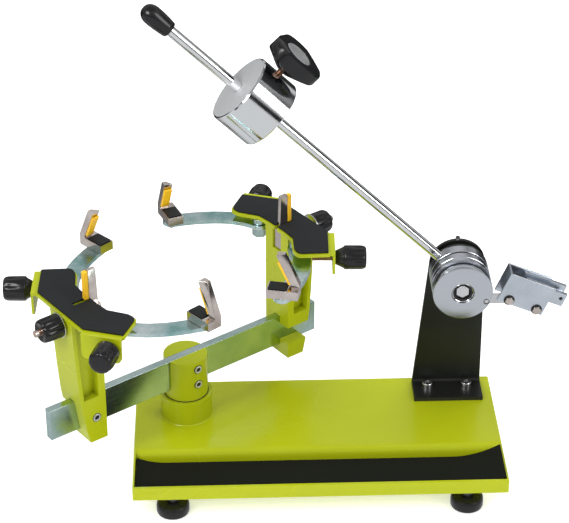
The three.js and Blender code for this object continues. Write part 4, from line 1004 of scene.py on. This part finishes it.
# Camera placed as the photo's was, in metres and degrees
shot = {"lens": 129.70, "place": (-0.0742, -2.0045, 1.4873), "pitch": 31.62, "yaw": 2.006}
camera = bpy.data.cameras.new("photoCamera")
camera.lens = shot["lens"]
camera.sensor_width = 36
camera.clip_start, camera.clip_end = 0.05, 60
cameraRig = bpy.data.objects.new("photoCamera", camera)
cameraRig.location = shot["place"]
cameraRig.rotation_euler = (math.radians(90 - shot["pitch"]), 0, math.radians(-shot["yaw"]))
bpy.context.scene.collection.objects.link(cameraRig)
bpy.context.scene.camera = cameraRig

# White floor and a plain room, in metres
studio = {
    "floorSize": 30, "floorDrop": 0.0005, "floorGlow": 0.45, "mirrorTone": (0.70, 0.71, 0.72, 1),
    "mirrorFade": {"From Min": 0.1, "From Max": 0.6, "To Min": 1.0, "To Max": 0.05}, "roomLight": 0.85,
    # how bright the room is from straight down (0) over the horizon (0.5) to straight up (1)
    "roomBands": ((0.0, 0.30), (0.44, 0.30), (0.47, 0.02), (0.555, 0.02), (0.575, 0.6), (0.64, 0.75),
                  (0.67, 0.06), (0.71, 0.06), (0.74, 0.78), (0.84, 0.85), (0.88, 0.30), (0.94, 0.45),
                  (1.0, 0.4)),
}
clearSelection()
bpy.ops.mesh.primitive_plane_add(size=studio["floorSize"], location=(0, 0, -studio["floorDrop"]))
floor = named(bpy.context.object, "studioFloor")
floorLook = bpy.data.materials.new("studioFloor")
floorLook.use_nodes = True
floorTree = floorLook.node_tree
floorShader = floorTree.nodes["Principled BSDF"]
floorShader.inputs["Base Color"].default_value = (0.9, 0.9, 0.9, 1)
floorShader.inputs["Roughness"].default_value = 0.9
floorGlow = addNode(floorTree, "ShaderNodeEmission",
                    {"Color": (1, 1, 1, 1), "Strength": studio["floorGlow"]})
floorSeen = addNode(floorTree, "ShaderNodeAddShader")
floorMirror = addNode(floorTree, "ShaderNodeEmission", {"Color": studio["mirrorTone"]})
floorPath = addNode(floorTree, "ShaderNodeLightPath")
# polished metal sees a lit floor in front and a dark one behind, which draws its dark edges
floorPlace = addNode(floorTree, "ShaderNodeTexCoord")
floorParts = addNode(floorTree, "ShaderNodeSeparateXYZ")
floorFade = addNode(floorTree, "ShaderNodeMapRange", studio["mirrorFade"])
wire(floorTree, floorPlace.outputs["Object"], floorParts.inputs[0])
wire(floorTree, floorParts.outputs["Y"], floorFade.inputs["Value"])
wire(floorTree, floorFade.outputs["Result"], floorMirror.inputs["Strength"])
floorMix = addNode(floorTree, "ShaderNodeMixShader")
wire(floorTree, floorShader.outputs[0], floorSeen.inputs[0])
wire(floorTree, floorGlow.outputs[0], floorSeen.inputs[1])
wire(floorTree, floorPath.outputs["Is Glossy Ray"], floorMix.inputs["Fac"])
wire(floorTree, floorSeen.outputs[0], floorMix.inputs[1])
wire(floorTree, floorMirror.outputs[0], floorMix.inputs[2])
wire(floorTree, floorMix.outputs[0], floorTree.nodes["Material Output"].inputs["Surface"])
floor.data.materials.append(floorLook)

world = bpy.data.worlds.new("studioWorld")
bpy.context.scene.world = world
world.use_nodes = True
worldTree = world.node_tree
skyPlace = addNode(worldTree, "ShaderNodeTexCoord")
skyParts = addNode(worldTree, "ShaderNodeSeparateXYZ")
skyBands = addNode(worldTree, "ShaderNodeValToRGB")
roomBands = studio["roomBands"]
bandRamp = skyBands.color_ramp
bandRamp.elements[0].position, bandRamp.elements[1].position = roomBands[0][0], roomBands[-1][0]
bandRamp.elements[0].color = (roomBands[0][1],) * 3 + (1,)
bandRamp.elements[1].color = (roomBands[-1][1],) * 3 + (1,)
for position, shade in roomBands[1:-1]:
    bandRamp.elements.new(position).color = (shade, shade, shade, 1)
skyHeight = addNode(worldTree, "ShaderNodeMapRange", {"From Min": -1.0, "From Max": 1.0})
wire(worldTree, skyPlace.outputs["Generated"], skyParts.inputs[0])
wire(worldTree, skyParts.outputs["Z"], skyHeight.inputs["Value"])
wire(worldTree, skyHeight.outputs["Result"], skyBands.inputs["Fac"])
wire(worldTree, skyBands.outputs["Color"], worldTree.nodes["Background"].inputs["Color"])
worldTree.nodes["Background"].inputs["Strength"].default_value = studio["roomLight"]

# Lamps, all aimed at the machine's middle; two of them aren't mirrored by the metal
lamps = {
    "keyLamp": {"place": (-1.4, -1.6, 1.9), "size": (1.3, 1.0), "power": 38},
    "fillLamp": {"place": (1.7, -1.2, 1.3), "size": (1.0, 1.2), "power": 18},
    "topLamp": {"place": (0.1, 0.4, 2.2), "size": (1.8, 1.2), "power": 22, "mirrored": False},
    "rimLamp": {"place": (0.9, 1.7, 1.2), "size": (1.2, 0.6), "power": 12, "mirrored": False},
}
machineMiddle = Vector((0, 0, 0.2))
for name, lamp in lamps.items():
    light = bpy.data.lights.new(name, "AREA")
    light.shape = "RECTANGLE"
    light.size, light.size_y = lamp["size"]
    light.energy = lamp["power"]
    rig = bpy.data.objects.new(name, light)
    rig.location = lamp["place"]
    aim = machineMiddle - rig.location
    rig.rotation_euler = aim.to_track_quat("-Z", "Y").to_euler()
    rig.visible_glossy = lamp.get("mirrored", True)
    bpy.context.scene.collection.objects.link(rig)
bpy.context.scene.view_settings.view_transform = "Standard"
print("camera, floor and", len(lamps), "lamps set")
